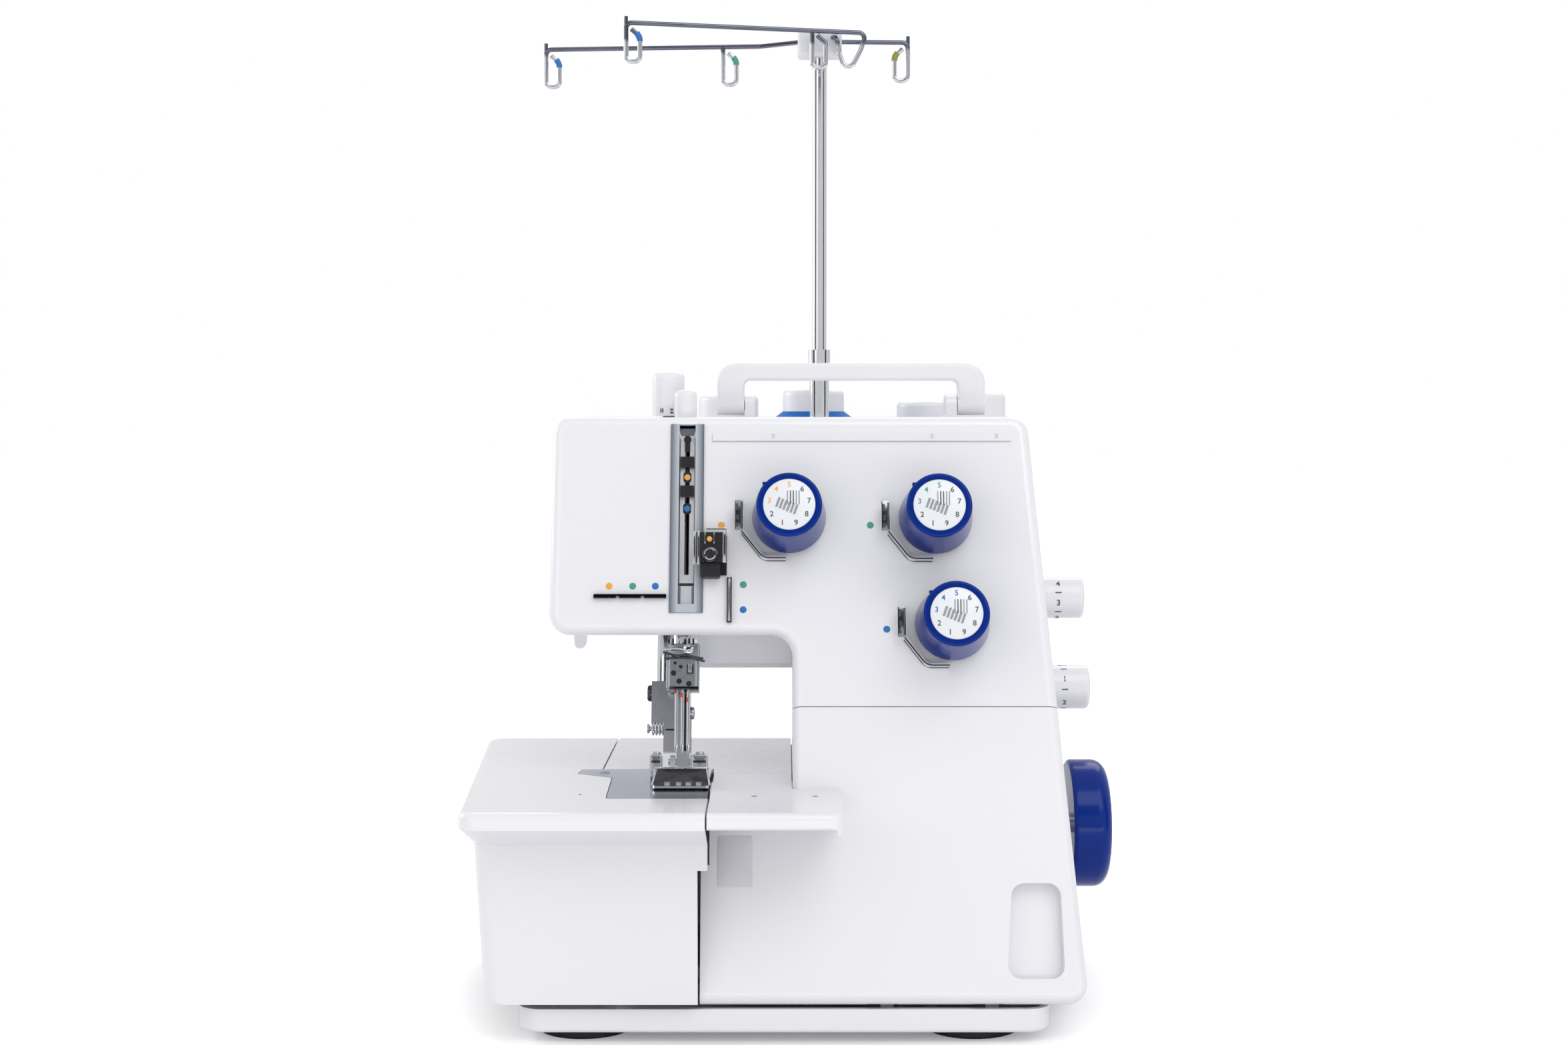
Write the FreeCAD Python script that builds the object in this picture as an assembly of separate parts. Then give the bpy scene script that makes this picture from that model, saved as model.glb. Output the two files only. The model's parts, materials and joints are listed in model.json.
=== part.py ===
import FreeCAD, Part
import math
import os

Vec = FreeCAD.Vector
RIGHT = Vec(1, 0, 0)
BACK = Vec(0, 1, 0)
FRONT = Vec(0, -1, 0)
UP = Vec(0, 0, 1)

# All sizes are millimetres and degrees. X runs to the right, Y to the back, Z up from the floor.
# Y is 0 at the front edge of the bed, and X is 0 a little left of the tower.

# Overall sizes
BED_Z = 112.0
THROAT = 68.5
HEAD_HEIGHT = 102.6
CASE_BACK = 218.0
HEAD_LEFT = -110.8
TOWER_LEFT = 4.0
SIDE_LOW_X = 138.2
SIDE_HIGH_X = 116.8
TABLE_FRONT_LEFT = -141.5
TABLE_BACK_LEFT = -157.5
WHEEL_RIGHT = 159.4

# Sloping front, which the needle bar follows
TILT = 16.0
PANEL_Y = 60.0

# Case walls, corners and joints
WALL = 2.5
SKIRT_Z = 17.5
HEAD_CORNER = 10.0
THROAT_CORNER = 10.0
TOP_CORNER = 9.0
EDGE_ROUND = 5.0
PART_GAP = 0.4
RUN_CLEAR = 0.05
BAR_ROOM = 1.0
UNDER_BED = 1.0
SEAT_GAP = 0.1
SPLIT_MARGIN = 6.0
COVER_DEPTH = 24.0
SEAM_RISE = 36.8
SEAM_SLOPE = 22.0
ARM_BLOCK_LEFT = -44.0
ARM_BLOCK_RISE = 43.8
ARM_BLOCK_ROUND = 3.0
SCREW_RADIUS = 3.5
SCREW_HEIGHT = 1.8
SCREW_ROUND = 0.8
SCREW_INSET = 13.0

# Front cover
COVER_LEFT = -38.0
COVER_STEP_LEFT = -34.2
COVER_STEP_Z = 78.7
STEP_CLEAR = 2.0
LEDGE_LEFT = -33.5
LEDGE_RIGHT = 26.0
LEDGE_BACK = 105.0
LEDGE_CORNER = 6.0
LIP_HEIGHT = 7.4
LIP_THICK = 3.0
LIP_ROUND = 1.4
LIP_INNER_ROUND = 0.5
NOSE_ROUND = 3.4
CURL_DROP = 4.0
CURL_ROUND = 5.0
SCOOP_LEFT = 101.0
SCOOP_WIDTH = 26.2
SCOOP_LOW = 29.8
SCOOP_HEIGHT = 41.1
SCOOP_DEPTH = 7.0
SCOOP_CORNER = 6.0
SCOOP_LEAN_LEFT = 3.0
SCOOP_LEAN_RIGHT = 1.0
HINGE_BEHIND = 5.1
HINGE_Z = 23.0
HINGE_RADIUS = 1.5
HINGE_LEFT = 26.0
HINGE_RIGHT = 116.0
HINGE_WALL = 1.7
COVER_SLIDE = 5.0
LUG_WIDTH = 6.0
LUG_INSET = 4.0
POST_WIDTH = 6.0
POST_INSET = 18.0
POST_THICK = 4.0
POST_BEHIND = 5.5
POST_ROOM = 1.5

# Bed
SEAM_X = -34.3
BED_BACK_INSET = 3.0
TABLE_SPLIT_X = -88.0
TABLE_SLIT = 0.4
TABLE_CORNER = 8.0
TABLE_LOW_CORNER = 10.0
TABLE_FLANK_DROP = 19.4
TABLE_FLANK_FRONT = 29.0
TABLE_FLANK_LEFT = 2.5
TABLE_FLANK_BACK = 9.0
TABLE_FOOT_FRONT = 31.0
TABLE_FOOT_LEFT = 6.6
TABLE_FOOT_BACK = 12.0
TABLE_FOOT_Z = 19.5
PLATE_FRONT = 36.6
PLATE_BACK = 114.5
PLATE_LEFT = -80.0
PLATE_RIGHT = -34.9
PLATE_THICK = 2.5
PLATE_TAB_LEFT = -99.0
PLATE_NECK_Y = 91.0
PLATE_TAB_Y = 102.0
PLATE_LEAN = 1.5
PLATE_GAP = 0.4
PLATE_CORNER = 3.0
PLATE_NECK_CORNER = 2.0
PLATE_BACK_CORNER = 1.5
PLATE_BACK_LEAN = 1.0
BED_ROUND = 2.4

# Base
TRAY_HALF = 121.5
TRAY_FRONT = 36.0
TRAY_BACK_INSET = 4.0
TRAY_BOTTOM = 5.0
TRAY_TOP = 16.0
TRAY_WALL = 3.0
TRAY_CORNER = 12.0
TRAY_ROUND = 2.0
FOOT_RADIUS = 23.0
FOOT_ROUND = 1.0
FOOT_LEFT_X = -92.2
FOOT_RIGHT_X = 87.2
FOOT_FRONT_Y = 66.0
FOOT_BACK_INSET = 33.0

# Frame casting
FRAME_WALL = 6.0
FRAME_LEFT_X = 12.0
FRAME_RIGHT_X = 97.0
FRAME_TOP_DROP = 22.0
FRAME_FRONT_GAP = 4.0
FRAME_BACK_INSET = 12.0
FRAME_BASE = 8.0
FRAME_SLAB = 8.0
FRAME_LEG = 12.0
BEAM_HEIGHT = 12.0
BEAM_DEPTH = 46.0
BEAM_LEFT_INSET = 12.0
CARRIER_FRONT = 36.0
CARRIER_BACK = 48.0
BLOCK_LEFT = -15.5
BLOCK_RIGHT = 9.0
BLOCK_FRONT = -4.9
BLOCK_HEIGHT = 10.0
LOW_BLOCK_RISE = 12.5
HIGH_BLOCK_RISE = 71.0
PLATE_REST = 14.0

# Needles and their bar
NEEDLE_X = -48.0
NEEDLE_Y = 79.0
NEEDLE_SPACING = 2.8
NEEDLE_RADIUS = 0.9
NEEDLE_POINT = 4.0
NEEDLE_POINT_RADIUS = 0.15
NEEDLE_TIP = 13.0
NEEDLE_FORWARD = 3.0
BAR_RADIUS = 3.6
BAR_TOP_DROP = 8.0
CLAMP_LOW = 43.9
CLAMP_HEIGHT = 13.7
CLAMP_HALF = 7.8
CLAMP_DEPTH = 6.0
CLAMP_SEAT = 9.0
CLAMP_ROUND = 2.0
YOKE_HALF = 4.0
YOKE_BLOCK = 6.0
YOKE_LEFT = -2.4
YOKE_RIGHT = 10.0
YOKE_BACK = 24.0

# Presser, its foot and its lifter
PRESSER_SHIFT = -9.3
PRESSER_BEHIND = 16.0
PRESSER_RADIUS = 4.0
PRESSER_TOP = 7.0
HOLDER_LOW = 17.0
HOLDER_FRONT = 7.5
HOLDER_STEM_BACK = 13.5
HOLDER_STEM_LEFT = -9.4
HOLDER_STEM_RIGHT = 3.9
HOLDER_BLOCK_RIGHT = 3.2
HOLDER_BLOCK_LOW = 12.0
HOLDER_BLOCK_HIGH = 32.0
HOLDER_SOCKET = 14.0
HOLDER_WALL = 2.0
TONGUE_HALF = 3.0
ANKLE_BEHIND = 10.5
ANKLE_RISE = 10.5
ANKLE_RADIUS = 1.5
ANKLE_HALF = 7.0
ANKLE_WALL = 1.1
FOOT_LEFT = -12.6
FOOT_RIGHT = 13.3
FOOT_TOE = -22.5
FOOT_HEEL = 20.0
FOOT_CORNER = 4.0
HEEL_CORNER = 2.0
TOE_TIP = 0.6
TOE_LEAD = 3.0
TOE_THICK = 1.0
TOE_HEIGHT = 8.0
TOE_TOP_FRONT = -12.5
TOE_TOP_BACK = -8.5
TOE_BACK = -7.5
SOLE = 2.2
SOLE_GAP = 0.5
FOOT_OPENING = 2.2
HEEL_RISE = 0.13
EAR_LEFT = -6.0
EAR_RIGHT = 3.5
EAR_THICK = 2.5
EAR_LOW = 4.9
EAR_SIDE = 0.3
LIFTER_X = -70.0
LIFTER_RISE = 30.0
LIFTER_PIN = 3.0
LIFTER_PIN_FRONT = 74.0
LIFTER_THICK = 6.0
LIFTER_GAP = 1.0
LIFTER_HALF = 6.0
LIFTER_TIP_IN = 1.5
LIFTER_TIP_DROP = 21.3
LIFTER_TIP_HALF = 2.8
LIFTER_TIP_ROUND = 2.4
LIFTER_KNEE_LEFT = (-3.5, 14.0)
LIFTER_KNEE_RIGHT = (4.5, 12.0)
LIFTER_KNEE_ROUND = 4.0
LIFTER_ROOT = 8.0
LIFTER_CORNER = 5.0

# Feed dog and looper
FEED_ROWS = [-5.3, -0.6, 4.1, 8.6]
FEED_ROW_WIDTH = 2.4
FEED_FRONT = (-21.0, -10.0)
FEED_REAR = (6.0, 22.0)
FEED_TRAVEL = 1.5
FEED_PITCH = 2.0
FEED_TOOTH = 0.8
FEED_TOOTH_LEAN = 0.8
FEED_PROUD = 0.25
FEED_TOP_DROP = 6.0
FEED_LOW_DROP = 12.0
FEED_BAR = 5.0
LOOPER_X = -66.0
LOOPER_DROP = 46.0
LOOPER_PIN = 3.0
LOOPER_AHEAD = 12.5
LOOPER_THICK = 3.5
LOOPER_BLADE_DROP = 21.0
LOOPER_BLADE = 4.0
LOOPER_REACH = 6.0
LOOPER_TOP_REACH = 2.0
LOOPER_TOP_ROUND = 0.5
LOOPER_POINT_RISE = 1.2
LOOPER_POINT_ROUND = 0.4

# Drive
SHAFT_Y = 135.0
SHAFT_DROP = 30.2
SHAFT_RADIUS = 5.0
SHAFT_OVERHANG = 18.0
WHEEL_RADIUS = 31.3
WHEEL_LEFT = 140.5
WHEEL_ROUND = 7.0
WHEEL_BACK_ROUND = 2.0
WHEEL_CAP = 8.0
BUSH_WALL = 3.0
ARM_BEHIND = 16.9
ARM_ABOVE_HEAD = 54.0
ARM_RADIUS = 4.5
CRANK_RADIUS = 14.0
CRANK_THROW = 10.0
CRANK_THICK = 6.0
CRANK_PIN = 2.5
CRANK_PIN_LENGTH = 3.0
CRANK_OFFSET = 14.0
MAIN_PULLEY = 26.0
MOTOR_PULLEY = 9.0
TIMING_PULLEY = 14.0
PULLEY_WIDTH = 9.0
FLANGE_THICK = 1.0
FLANGE_LIP = 1.2
MAIN_PULLEY_X = 62.0
TIMING_X = 80.0
MOTOR_Y = 165.0
MOTOR_Z = 46.0
MOTOR_RADIUS = 19.0
MOTOR_WALL = 2.0
MOTOR_SHAFT = 3.0
MOTOR_CLEAR = 4.0
ARMATURE_RADIUS = 14.0
ARMATURE_GAP = 3.0
BELT_THICK = 1.6
BELT_CLEAR = 0.15

# Tension dials, by their places across and above the head's underside
DIALS = {
    "left": (2.4, 54.2),
    "right": (71.6, 53.9),
    "lower": (78.6, 5.2),
}
DIAL_BASE = 17.4
DIAL_FACE = 15.1
DIAL_GAP = 5.0
DIAL_LENGTH = 26.5
DIAL_ROUND = 1.2
DIAL_RECESS = 12.2
DIAL_RECESS_DEPTH = 0.6
STUD_RADIUS = 3.0
STUD_REACH = 18.0
STUD_FLANGE = 6.0
STUD_FLANGE_THICK = 2.5
DISC_RADIUS = 11.5
DISC_THICK = 0.9
DISC_STARTS = (-1.2, -2.8)

# Wire guard and hook plate beside each dial
GUARD_LEFT = 22.4
GUARD_KNEE = 12.4
GUARD_DROP = 20.0
GUARD_TAIL = 1.5
GUARD_BEND = 3.0
GUARD_THICK = 0.9
GUARD_DEPTH = 7.0
HOOK_WIDTH = 3.4
HOOK_LOW = -7.0
HOOK_HIGH = 8.0

# Knobs on the right side
KNOB_BEHIND_SPLIT = 13.5
LENGTH_KNOB_RISE = 10.2
LENGTH_KNOB_RADIUS = 10.6
LENGTH_KNOB_RIGHT = 152.8
FEED_KNOB_RISE = 32.7
FEED_KNOB_RADIUS = 11.2
FEED_KNOB_RIGHT = 156.0
KNOB_GAP = 0.8
KNOB_ROUND = 2.5
KNOB_STEM = 13.0
KNOB_STEM_RADIUS = 3.0

# Top of the head
PRESSURE_RADIUS = 7.9
PRESSURE_HEIGHT = 22.2
PRESSURE_GAP = 0.6
PRESSURE_ROUND = 3.0
PRESSURE_STEM = 3.0
PRESSURE_STEM_LENGTH = 14.0
CAP_RADIUS = 5.5
CAP_HEIGHT = 13.3
CAP_ROUND = 3.0
CAP_WALL = 1.5
RAIL_LEFT = -34.2
RAIL_RIGHT = 108.5
RAIL_HEIGHT = 3.4
RAIL_DROP = 11.9
RAIL_PROUD = 0.9
RAIL_DEPTH = 1.2
RAIL_NOTCHES = (-5.2, 70.6, 101.4)
RAIL_NOTCH = 1.6
RAIL_NOTCH_DEPTH = 0.2
RAIL_NOTCH_LOW = 1.2

# Take-up slot in the head
SLOT_LEFT = -54.1
SLOT_RIGHT = -38.2
SLOT_LOW_RISE = 10.9
SLOT_TOP_DROP = 3.4
SLOT_DEPTH = 8.5
SLOT_LIP = 1.0
SLOT_WALL = 4.0
SLOT_FLOOR = 1.2
SLOT_SHELF = 4.0
SLIT_HALF = 2.6
SLIT_INSET = 8.0
TAKEUP_LOW_RISE = 25.0
TAKEUP_LENGTH = 72.0
TAKEUP_HALF = 3.4
TAKEUP_FRONT = 2.2
TAKEUP_THICK = 2.0
TAKEUP_WINDOW = 1.1
TAKEUP_ENDS = (4.0, 6.0)
CLIP_HALF = 3.2
CLIP_PROUD = 2.4
CLIP_HEIGHT = 5.4
CLIP_PLACES = (41.6, 55.8)

# Thread guides on the face
BRACKET_RISE = 28.1
BRACKET_LEFT = -36.6
BRACKET_WIDTH = 9.6
BRACKET_HEIGHT = 19.0
BRACKET_THICK = 1.2
BRACKET_STANDOFF = 8.0
BRACKET_POST = 2.6
BRACKET_WING = 4.6
STRIP_LEFT = -89.5
STRIP_RIGHT = -55.3
STRIP_RISE = 18.3
STRIP_HALF = 0.9
STRIP_PROUD = 2.2
STRIP_NOTCHES = (-78.2, -66.5)
STRIP_NOTCH = 1.6
UPRIGHT_LEFT = -26.8
UPRIGHT_WIDTH = 2.2
UPRIGHT_LOW = 6.3
UPRIGHT_HIGH = 26.9
UPRIGHT_GROOVE = 0.8

# Lamp under the head
LAMP_X = -20.0
LAMP_Y = 114.0
LAMP_HALF = 9.0
LAMP_DEPTH = 6.0
LAMP_PROUD = 0.8

# Carry handle
HANDLE_LEFT = -34.0
HANDLE_RIGHT = 102.0
HANDLE_BEHIND_SPLIT = 13.5
HANDLE_RISE = 27.4
HANDLE_BAR = 8.9
HANDLE_LEG = 13.8
HANDLE_DEPTH = 10.0
HANDLE_ROUND = 2.0
HANDLE_CORNER = 10.0
HANDLE_INNER_CORNER = 3.0
HANDLE_PIVOT_RISE = 6.0
HANDLE_PIN = 2.5
HANDLE_PIN_LENGTH = 3.4
HANDLE_SIDE_GAP = 0.4
BOSS_WIDTH = 5.0
BOSS_BLIND = 1.2

# Power inlet and switch on the back
INLET_X = 92.0
INLET_Z = 36.0
INLET_WIDTH = 24.0
INLET_HEIGHT = 18.0
INLET_DEPTH = 5.0
INLET_PROUD = 1.2
INLET_WALL = 4.0
INLET_FLOOR = 1.0
SWITCH_X = 58.0
SWITCH_WIDTH = 22.0
SWITCH_GAP = 0.6
SWITCH_PIVOT = 2.5
SWITCH_PIN = 1.2
SWITCH_PIN_REACH = 1.6
SWITCH_TIP = 7.0
ROCKER_BACK = 3.5
ROCKER_PROUD = 1.6
ROCKER_DIP = 0.8
ROCKER_HALF = 7.4
ROCKER_FOOT = 6.0
ROCKER_ROUND = 1.0

# Thread stand
STAND_Z = 155.5
STAND_THICK = 7.0
STAND_LEFT = -60.0
STAND_RIGHT = 136.0
STAND_GAP = 9.5
STAND_DEPTH = 118.0
STAND_FRONT_CORNER = 8.0
STAND_BACK_CORNER = 25.0
STAND_ROUND = 2.0
STAND_NECK_INSET = 8.0
STAND_NECK_RIGHT = 36.0
STAND_FLANGE = 3.0
STAND_FLANGE_DROP = 40.0
STAND_STEP = 1.0
POLE_X = 19.0
POLE_BEHIND = 15.0
POLE_LOWER = 5.2
POLE_UPPER = 3.8
POLE_JOINT = 319.0
POLE_OVERLAP = 60.0
POLE_FLOOR = 2.0
POLE_BOSS = 3.5
POLE_BOSS_HEIGHT = 9.0
COLLAR_HEIGHT = 8.0
COLLAR_PROUD = 0.6
HUB_LOW = 474.4
HUB_HEIGHT = 14.2
HUB_HALF = 11.7
HUB_DEPTH = 8.0
HUB_ROUND = 2.0
HUB_SOCKET = 10.3
WIRE_RADIUS = 1.25
WIRE_BEND = 3.0
BEND_SHARE = 0.45
REAR_ARM_RISE = 8.6
FRONT_ARM_RISE = 14.5
MIDDLE_EYE_RISE = 12.9
REAR_LEFT_EYE = (-148.7, 24.0)
REAR_LEFT_BEND = (-32.0, 14.0)
REAR_MIDDLE_EYE = (-52.0, 15.4)
REAR_RIGHT_EYE = (47.2, 2.0)
FRONT_LEFT_EYE = (-101.5, -24.0)
FRONT_MIDDLE_EYE = (-4.2, -14.6)
FRONT_ARM_Y = -12.0
DIP = [(8.6, 9.5), (10.3, 0.5), (12.6, -6.0), (17.0, -6.2), (21.3, 1.8), (24.6, 11.2)]
DIP_ROOT = 6.1
WIRE_SEAT = 2.5
EYE_DROP = 20.2
EYE_WIDTH = 7.2
EYE_SHOULDER = 7.3
EYE_END = 3.4
EYE_GAP = 0.3
EYE_TAB = 3.2
TAB_RADIUS = 1.05
SPOOLS = [(-31.8, 90.0), (16.4, 54.0), (82.0, 94.0), (105.3, 46.0)]
CONE_TOPS = [295.1, 298.0, 291.7, 296.0]
CONE_TIP = 17.0
CONE_TIP_HEIGHT = 12.0
CONE_TIP_ROUND = 3.0
CONE_FOOT = 24.0
CONE_NECK = 1.5
CONE_BASE_INSET = 4.0
SPOOL_FLANGE = 2.0
SPOOL_PIN = 3.0
SPOOL_PIN_DROP = 20.0
THREAD_LOW = 9.0
THREAD_FOOT = 2.0
THREAD_SHOULDER = 4.0
THREAD_SLOPE = 3.0
BLUE_CONE = 1

# Places that follow from the sizes above
HEAD_BOTTOM = BED_Z + THROAT
CASE_TOP = HEAD_BOTTOM + HEAD_HEIGHT
TABLE_BACK = CASE_BACK - BED_BACK_INSET
SEAM_Z = BED_Z + SEAM_RISE
LIP_Z = BED_Z - LIP_HEIGHT
SHAFT_Z = BED_Z - SHAFT_DROP
ARM_Z = HEAD_BOTTOM + ARM_ABOVE_HEAD
LOOPER_Z = BED_Z - LOOPER_DROP
LIFTER_Z = HEAD_BOTTOM + LIFTER_RISE
LENGTH_KNOB_Z = HEAD_BOTTOM + LENGTH_KNOB_RISE
FEED_KNOB_Z = BED_Z + FEED_KNOB_RISE
SLOPE = math.tan(math.radians(TILT))
COS_TILT = math.cos(math.radians(TILT))
SIN_TILT = math.sin(math.radians(TILT))
COVER_BACK = PANEL_Y + COVER_DEPTH
PRESSER_X = NEEDLE_X + PRESSER_SHIFT
PRESSER_TOP_Y = NEEDLE_Y + (CASE_TOP - BED_Z) * SLOPE + PRESSER_BEHIND / COS_TILT
REAR_SPLIT = PRESSER_TOP_Y + PRESSURE_RADIUS + SPLIT_MARGIN
KNOB_Y = REAR_SPLIT + KNOB_BEHIND_SPLIT
HANDLE_Y = REAR_SPLIT + HANDLE_BEHIND_SPLIT
HANDLE_PIVOT_Z = CASE_TOP + HANDLE_PIVOT_RISE
HINGE_Y = PANEL_Y + (HINGE_Z - BED_Z) * SLOPE + HINGE_BEHIND
ARM_Y = NEEDLE_Y + (ARM_Z - BED_Z) * SLOPE + ARM_BEHIND
CRANK_X = NEEDLE_X + CRANK_OFFSET
FRAME_TOP = CASE_TOP - FRAME_TOP_DROP
FRAME_FRONT = PANEL_Y + (FRAME_TOP - BED_Z) * SLOPE + WALL / COS_TILT + FRAME_FRONT_GAP
FRAME_BACK = CASE_BACK - FRAME_BACK_INSET
FRAME_FLOOR = TRAY_BOTTOM + TRAY_WALL
STAND_FRONT = CASE_BACK + STAND_GAP
POLE_Y = CASE_BACK + POLE_BEHIND
FAR = 500.0
TOUCH = 1e-3

# How far a cutting or a joining shape runs past the face it crosses
OVERRUN = 1.0

PANEL = FreeCAD.Placement(Vec(0, PANEL_Y, BED_Z), FreeCAD.Rotation(RIGHT, -TILT))
NEEDLE = FreeCAD.Placement(Vec(NEEDLE_X, NEEDLE_Y, BED_Z), FreeCAD.Rotation(RIGHT, -TILT))


def panel_y(z):
    """Front of the case at height z."""
    return PANEL_Y + (z - BED_Z) * SLOPE


def needle_y(z):
    """Needle bar's axis at height z."""
    return NEEDLE_Y + (z - BED_Z) * SLOPE


def along(z):
    """Distance up the sloping front from the bed to height z."""
    return (z - BED_Z) / COS_TILT


def right_x(z):
    """Right side of the case at height z."""
    share = (z - SKIRT_Z) / (CASE_TOP - SKIRT_Z)
    return SIDE_LOW_X + (SIDE_HIGH_X - SIDE_LOW_X) * share


def box(x0, x1, y0, y1, z0, z1):
    return Part.makeBox(x1 - x0, y1 - y0, z1 - z0, Vec(x0, y0, z0))


def rod(start, direction, radius, length):
    return Part.makeCylinder(radius, length, Vec(*start), direction)


def ring(start, direction, outer, inner, length):
    return rod(start, direction, outer, length).cut(rod(start, direction, inner, length))


def cone(start, direction, low_radius, high_radius, length):
    return Part.makeCone(low_radius, high_radius, length, Vec(*start), direction)


def placed(shape, frame):
    moved = shape.copy()
    moved.Placement = frame.multiply(moved.Placement)
    return moved


def join(shapes):
    whole = shapes[0]
    for shape in shapes[1:]:
        whole = whole.fuse(shape)
    return whole.removeSplitter()


def cut_all(shape, tools):
    for tool in tools:
        shape = shape.cut(tool)
    return shape


def rounded_wire(points, lift):
    """Closed outline through points (a, b, corner radius), put in space by lift(a, b)."""
    count = len(points)
    corners = []
    for index in range(count):
        a, b, radius = points[index]
        here = lift(a, b)
        before = lift(*points[index - 1][:2]).sub(here).normalize()
        after = lift(*points[(index + 1) % count][:2]).sub(here).normalize()
        if radius <= 0:
            corners.append((here, None, here))
            continue
        half = before.getAngle(after) / 2
        middle = before.add(after).normalize()
        reach = radius / math.tan(half)
        bulge = radius / math.sin(half) - radius
        corners.append((here + before * reach, here + middle * bulge, here + after * reach))
    edges = []
    for index in range(count):
        start, bulge, end = corners[index]
        if bulge is not None:
            edges.append(Part.Arc(start, bulge, end).toShape())
        following = corners[(index + 1) % count][0]
        if end.distanceToPoint(following) > TOUCH:
            edges.append(Part.makeLine(end, following))
    return Part.Wire(edges)


def front_prism(points, y0, y1):
    wire = rounded_wire(points, lambda a, b: Vec(a, y0, b))
    return Part.Face(wire).extrude(Vec(0, y1 - y0, 0))


def side_prism(points, x0, x1):
    wire = rounded_wire(points, lambda a, b: Vec(x0, a, b))
    return Part.Face(wire).extrude(Vec(x1 - x0, 0, 0))


def plan_prism(points, z0, z1):
    wire = rounded_wire(points, lambda a, b: Vec(a, b, z0))
    return Part.Face(wire).extrude(Vec(0, 0, z1 - z0))


def soften(shape, radius, wanted):
    """Round the edges all of whose points, ends and middle, satisfy wanted."""
    def chosen(edge):
        middle = edge.valueAt((edge.FirstParameter + edge.LastParameter) / 2)
        return all(wanted(point) for point in [vertex.Point for vertex in edge.Vertexes] + [middle])

    return shape.makeFillet(radius, [edge for edge in shape.Edges if chosen(edge)])


def depth_in_panel(point):
    return point.sub(PANEL.Base).dot(PANEL.Rotation.multVec(BACK))


def behind_panel(depth):
    return placed(box(-FAR, FAR, depth, FAR, -FAR, FAR), PANEL)


def bent_wire(points, radius, bend):
    """Round wire along straight runs joined by tangent arcs."""
    spots = [Vec(*point) for point in points]
    edges = []
    last = spots[0]
    for index in range(1, len(spots) - 1):
        here = spots[index]
        before = spots[index - 1].sub(here)
        after = spots[index + 1].sub(here)
        half = before.getAngle(after) / 2
        reach = min(bend / math.tan(half), BEND_SHARE * before.Length, BEND_SHARE * after.Length)
        turn = reach * math.tan(half)
        before.normalize()
        after.normalize()
        middle = before.add(after).normalize()
        start = here + before * reach
        end = here + after * reach
        if last.distanceToPoint(start) > TOUCH:
            edges.append(Part.makeLine(last, start))
        edges.append(Part.Arc(start, here + middle * (turn / math.sin(half) - turn), end).toShape())
        last = end
    edges.append(Part.makeLine(last, spots[-1]))
    section = Part.Wire(Part.makeCircle(radius, spots[0], spots[1].sub(spots[0])))
    return Part.Wire(edges).makePipeShell([section], True, True)


# Case


def case_outline(inset):
    low = SKIRT_Z - 2 * inset
    high = CASE_TOP - inset
    return [
        (HEAD_LEFT + inset, HEAD_BOTTOM + inset, HEAD_CORNER - inset),
        (TOWER_LEFT + inset, HEAD_BOTTOM + inset, THROAT_CORNER + inset),
        (TOWER_LEFT + inset, low, 0),
        (right_x(low) - inset, low, 0),
        (right_x(high) - inset, high, TOP_CORNER - inset),
        (HEAD_LEFT + inset, high, TOP_CORNER - inset),
    ]


def case_solid(inset):
    return front_prism(case_outline(inset), 0, CASE_BACK - inset).common(behind_panel(inset))


def arm_block(inset):
    """Lower part of the arm behind the presser foot."""
    low = BED_Z + ARM_BLOCK_RISE
    return box(ARM_BLOCK_LEFT + inset, TOWER_LEFT + 2 * WALL, REAR_SPLIT + PART_GAP + inset,
               CASE_BACK - inset, low + inset, HEAD_BOTTOM + 2 * WALL)


def case_shell():
    def on_front(point):
        return abs(depth_in_panel(point)) < TOUCH and point.z > SKIRT_Z - TOUCH

    def on_back(point):
        return abs(point.y - CASE_BACK) < TOUCH and point.z > SKIRT_Z - TOUCH

    def not_the_skirt(shape, wanted):
        chosen = []
        for edge in shape.Edges:
            ends = [vertex.Point for vertex in edge.Vertexes]
            middle = edge.valueAt((edge.FirstParameter + edge.LastParameter) / 2)
            above_skirt = max(end.z for end in ends) > SKIRT_Z + TOUCH
            if above_skirt and all(wanted(point) for point in ends + [middle]):
                chosen.append(edge)
        return shape.makeFillet(EDGE_ROUND, chosen)

    outer = not_the_skirt(case_solid(0), on_front)
    outer = not_the_skirt(outer, on_back)
    low = BED_Z + ARM_BLOCK_RISE
    block = soften(arm_block(0), ARM_BLOCK_ROUND, lambda point: abs(point.z - low) < TOUCH)
    return join([outer, block]).cut(join([case_solid(WALL), arm_block(WALL)]))


def seam_half(low, high):
    """Everything between two heights over the sloping joint of panel and cover."""
    frame = FreeCAD.Placement(Vec(0, panel_y(SEAM_Z), SEAM_Z), FreeCAD.Rotation(RIGHT, -SEAM_SLOPE))
    return placed(box(-FAR, FAR, -FAR, FAR, low, high), frame)


def dial_spot(name):
    across, rise = DIALS[name]
    return across, along(HEAD_BOTTOM + rise)


def rail_low():
    return along(CASE_TOP) - RAIL_DROP


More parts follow.
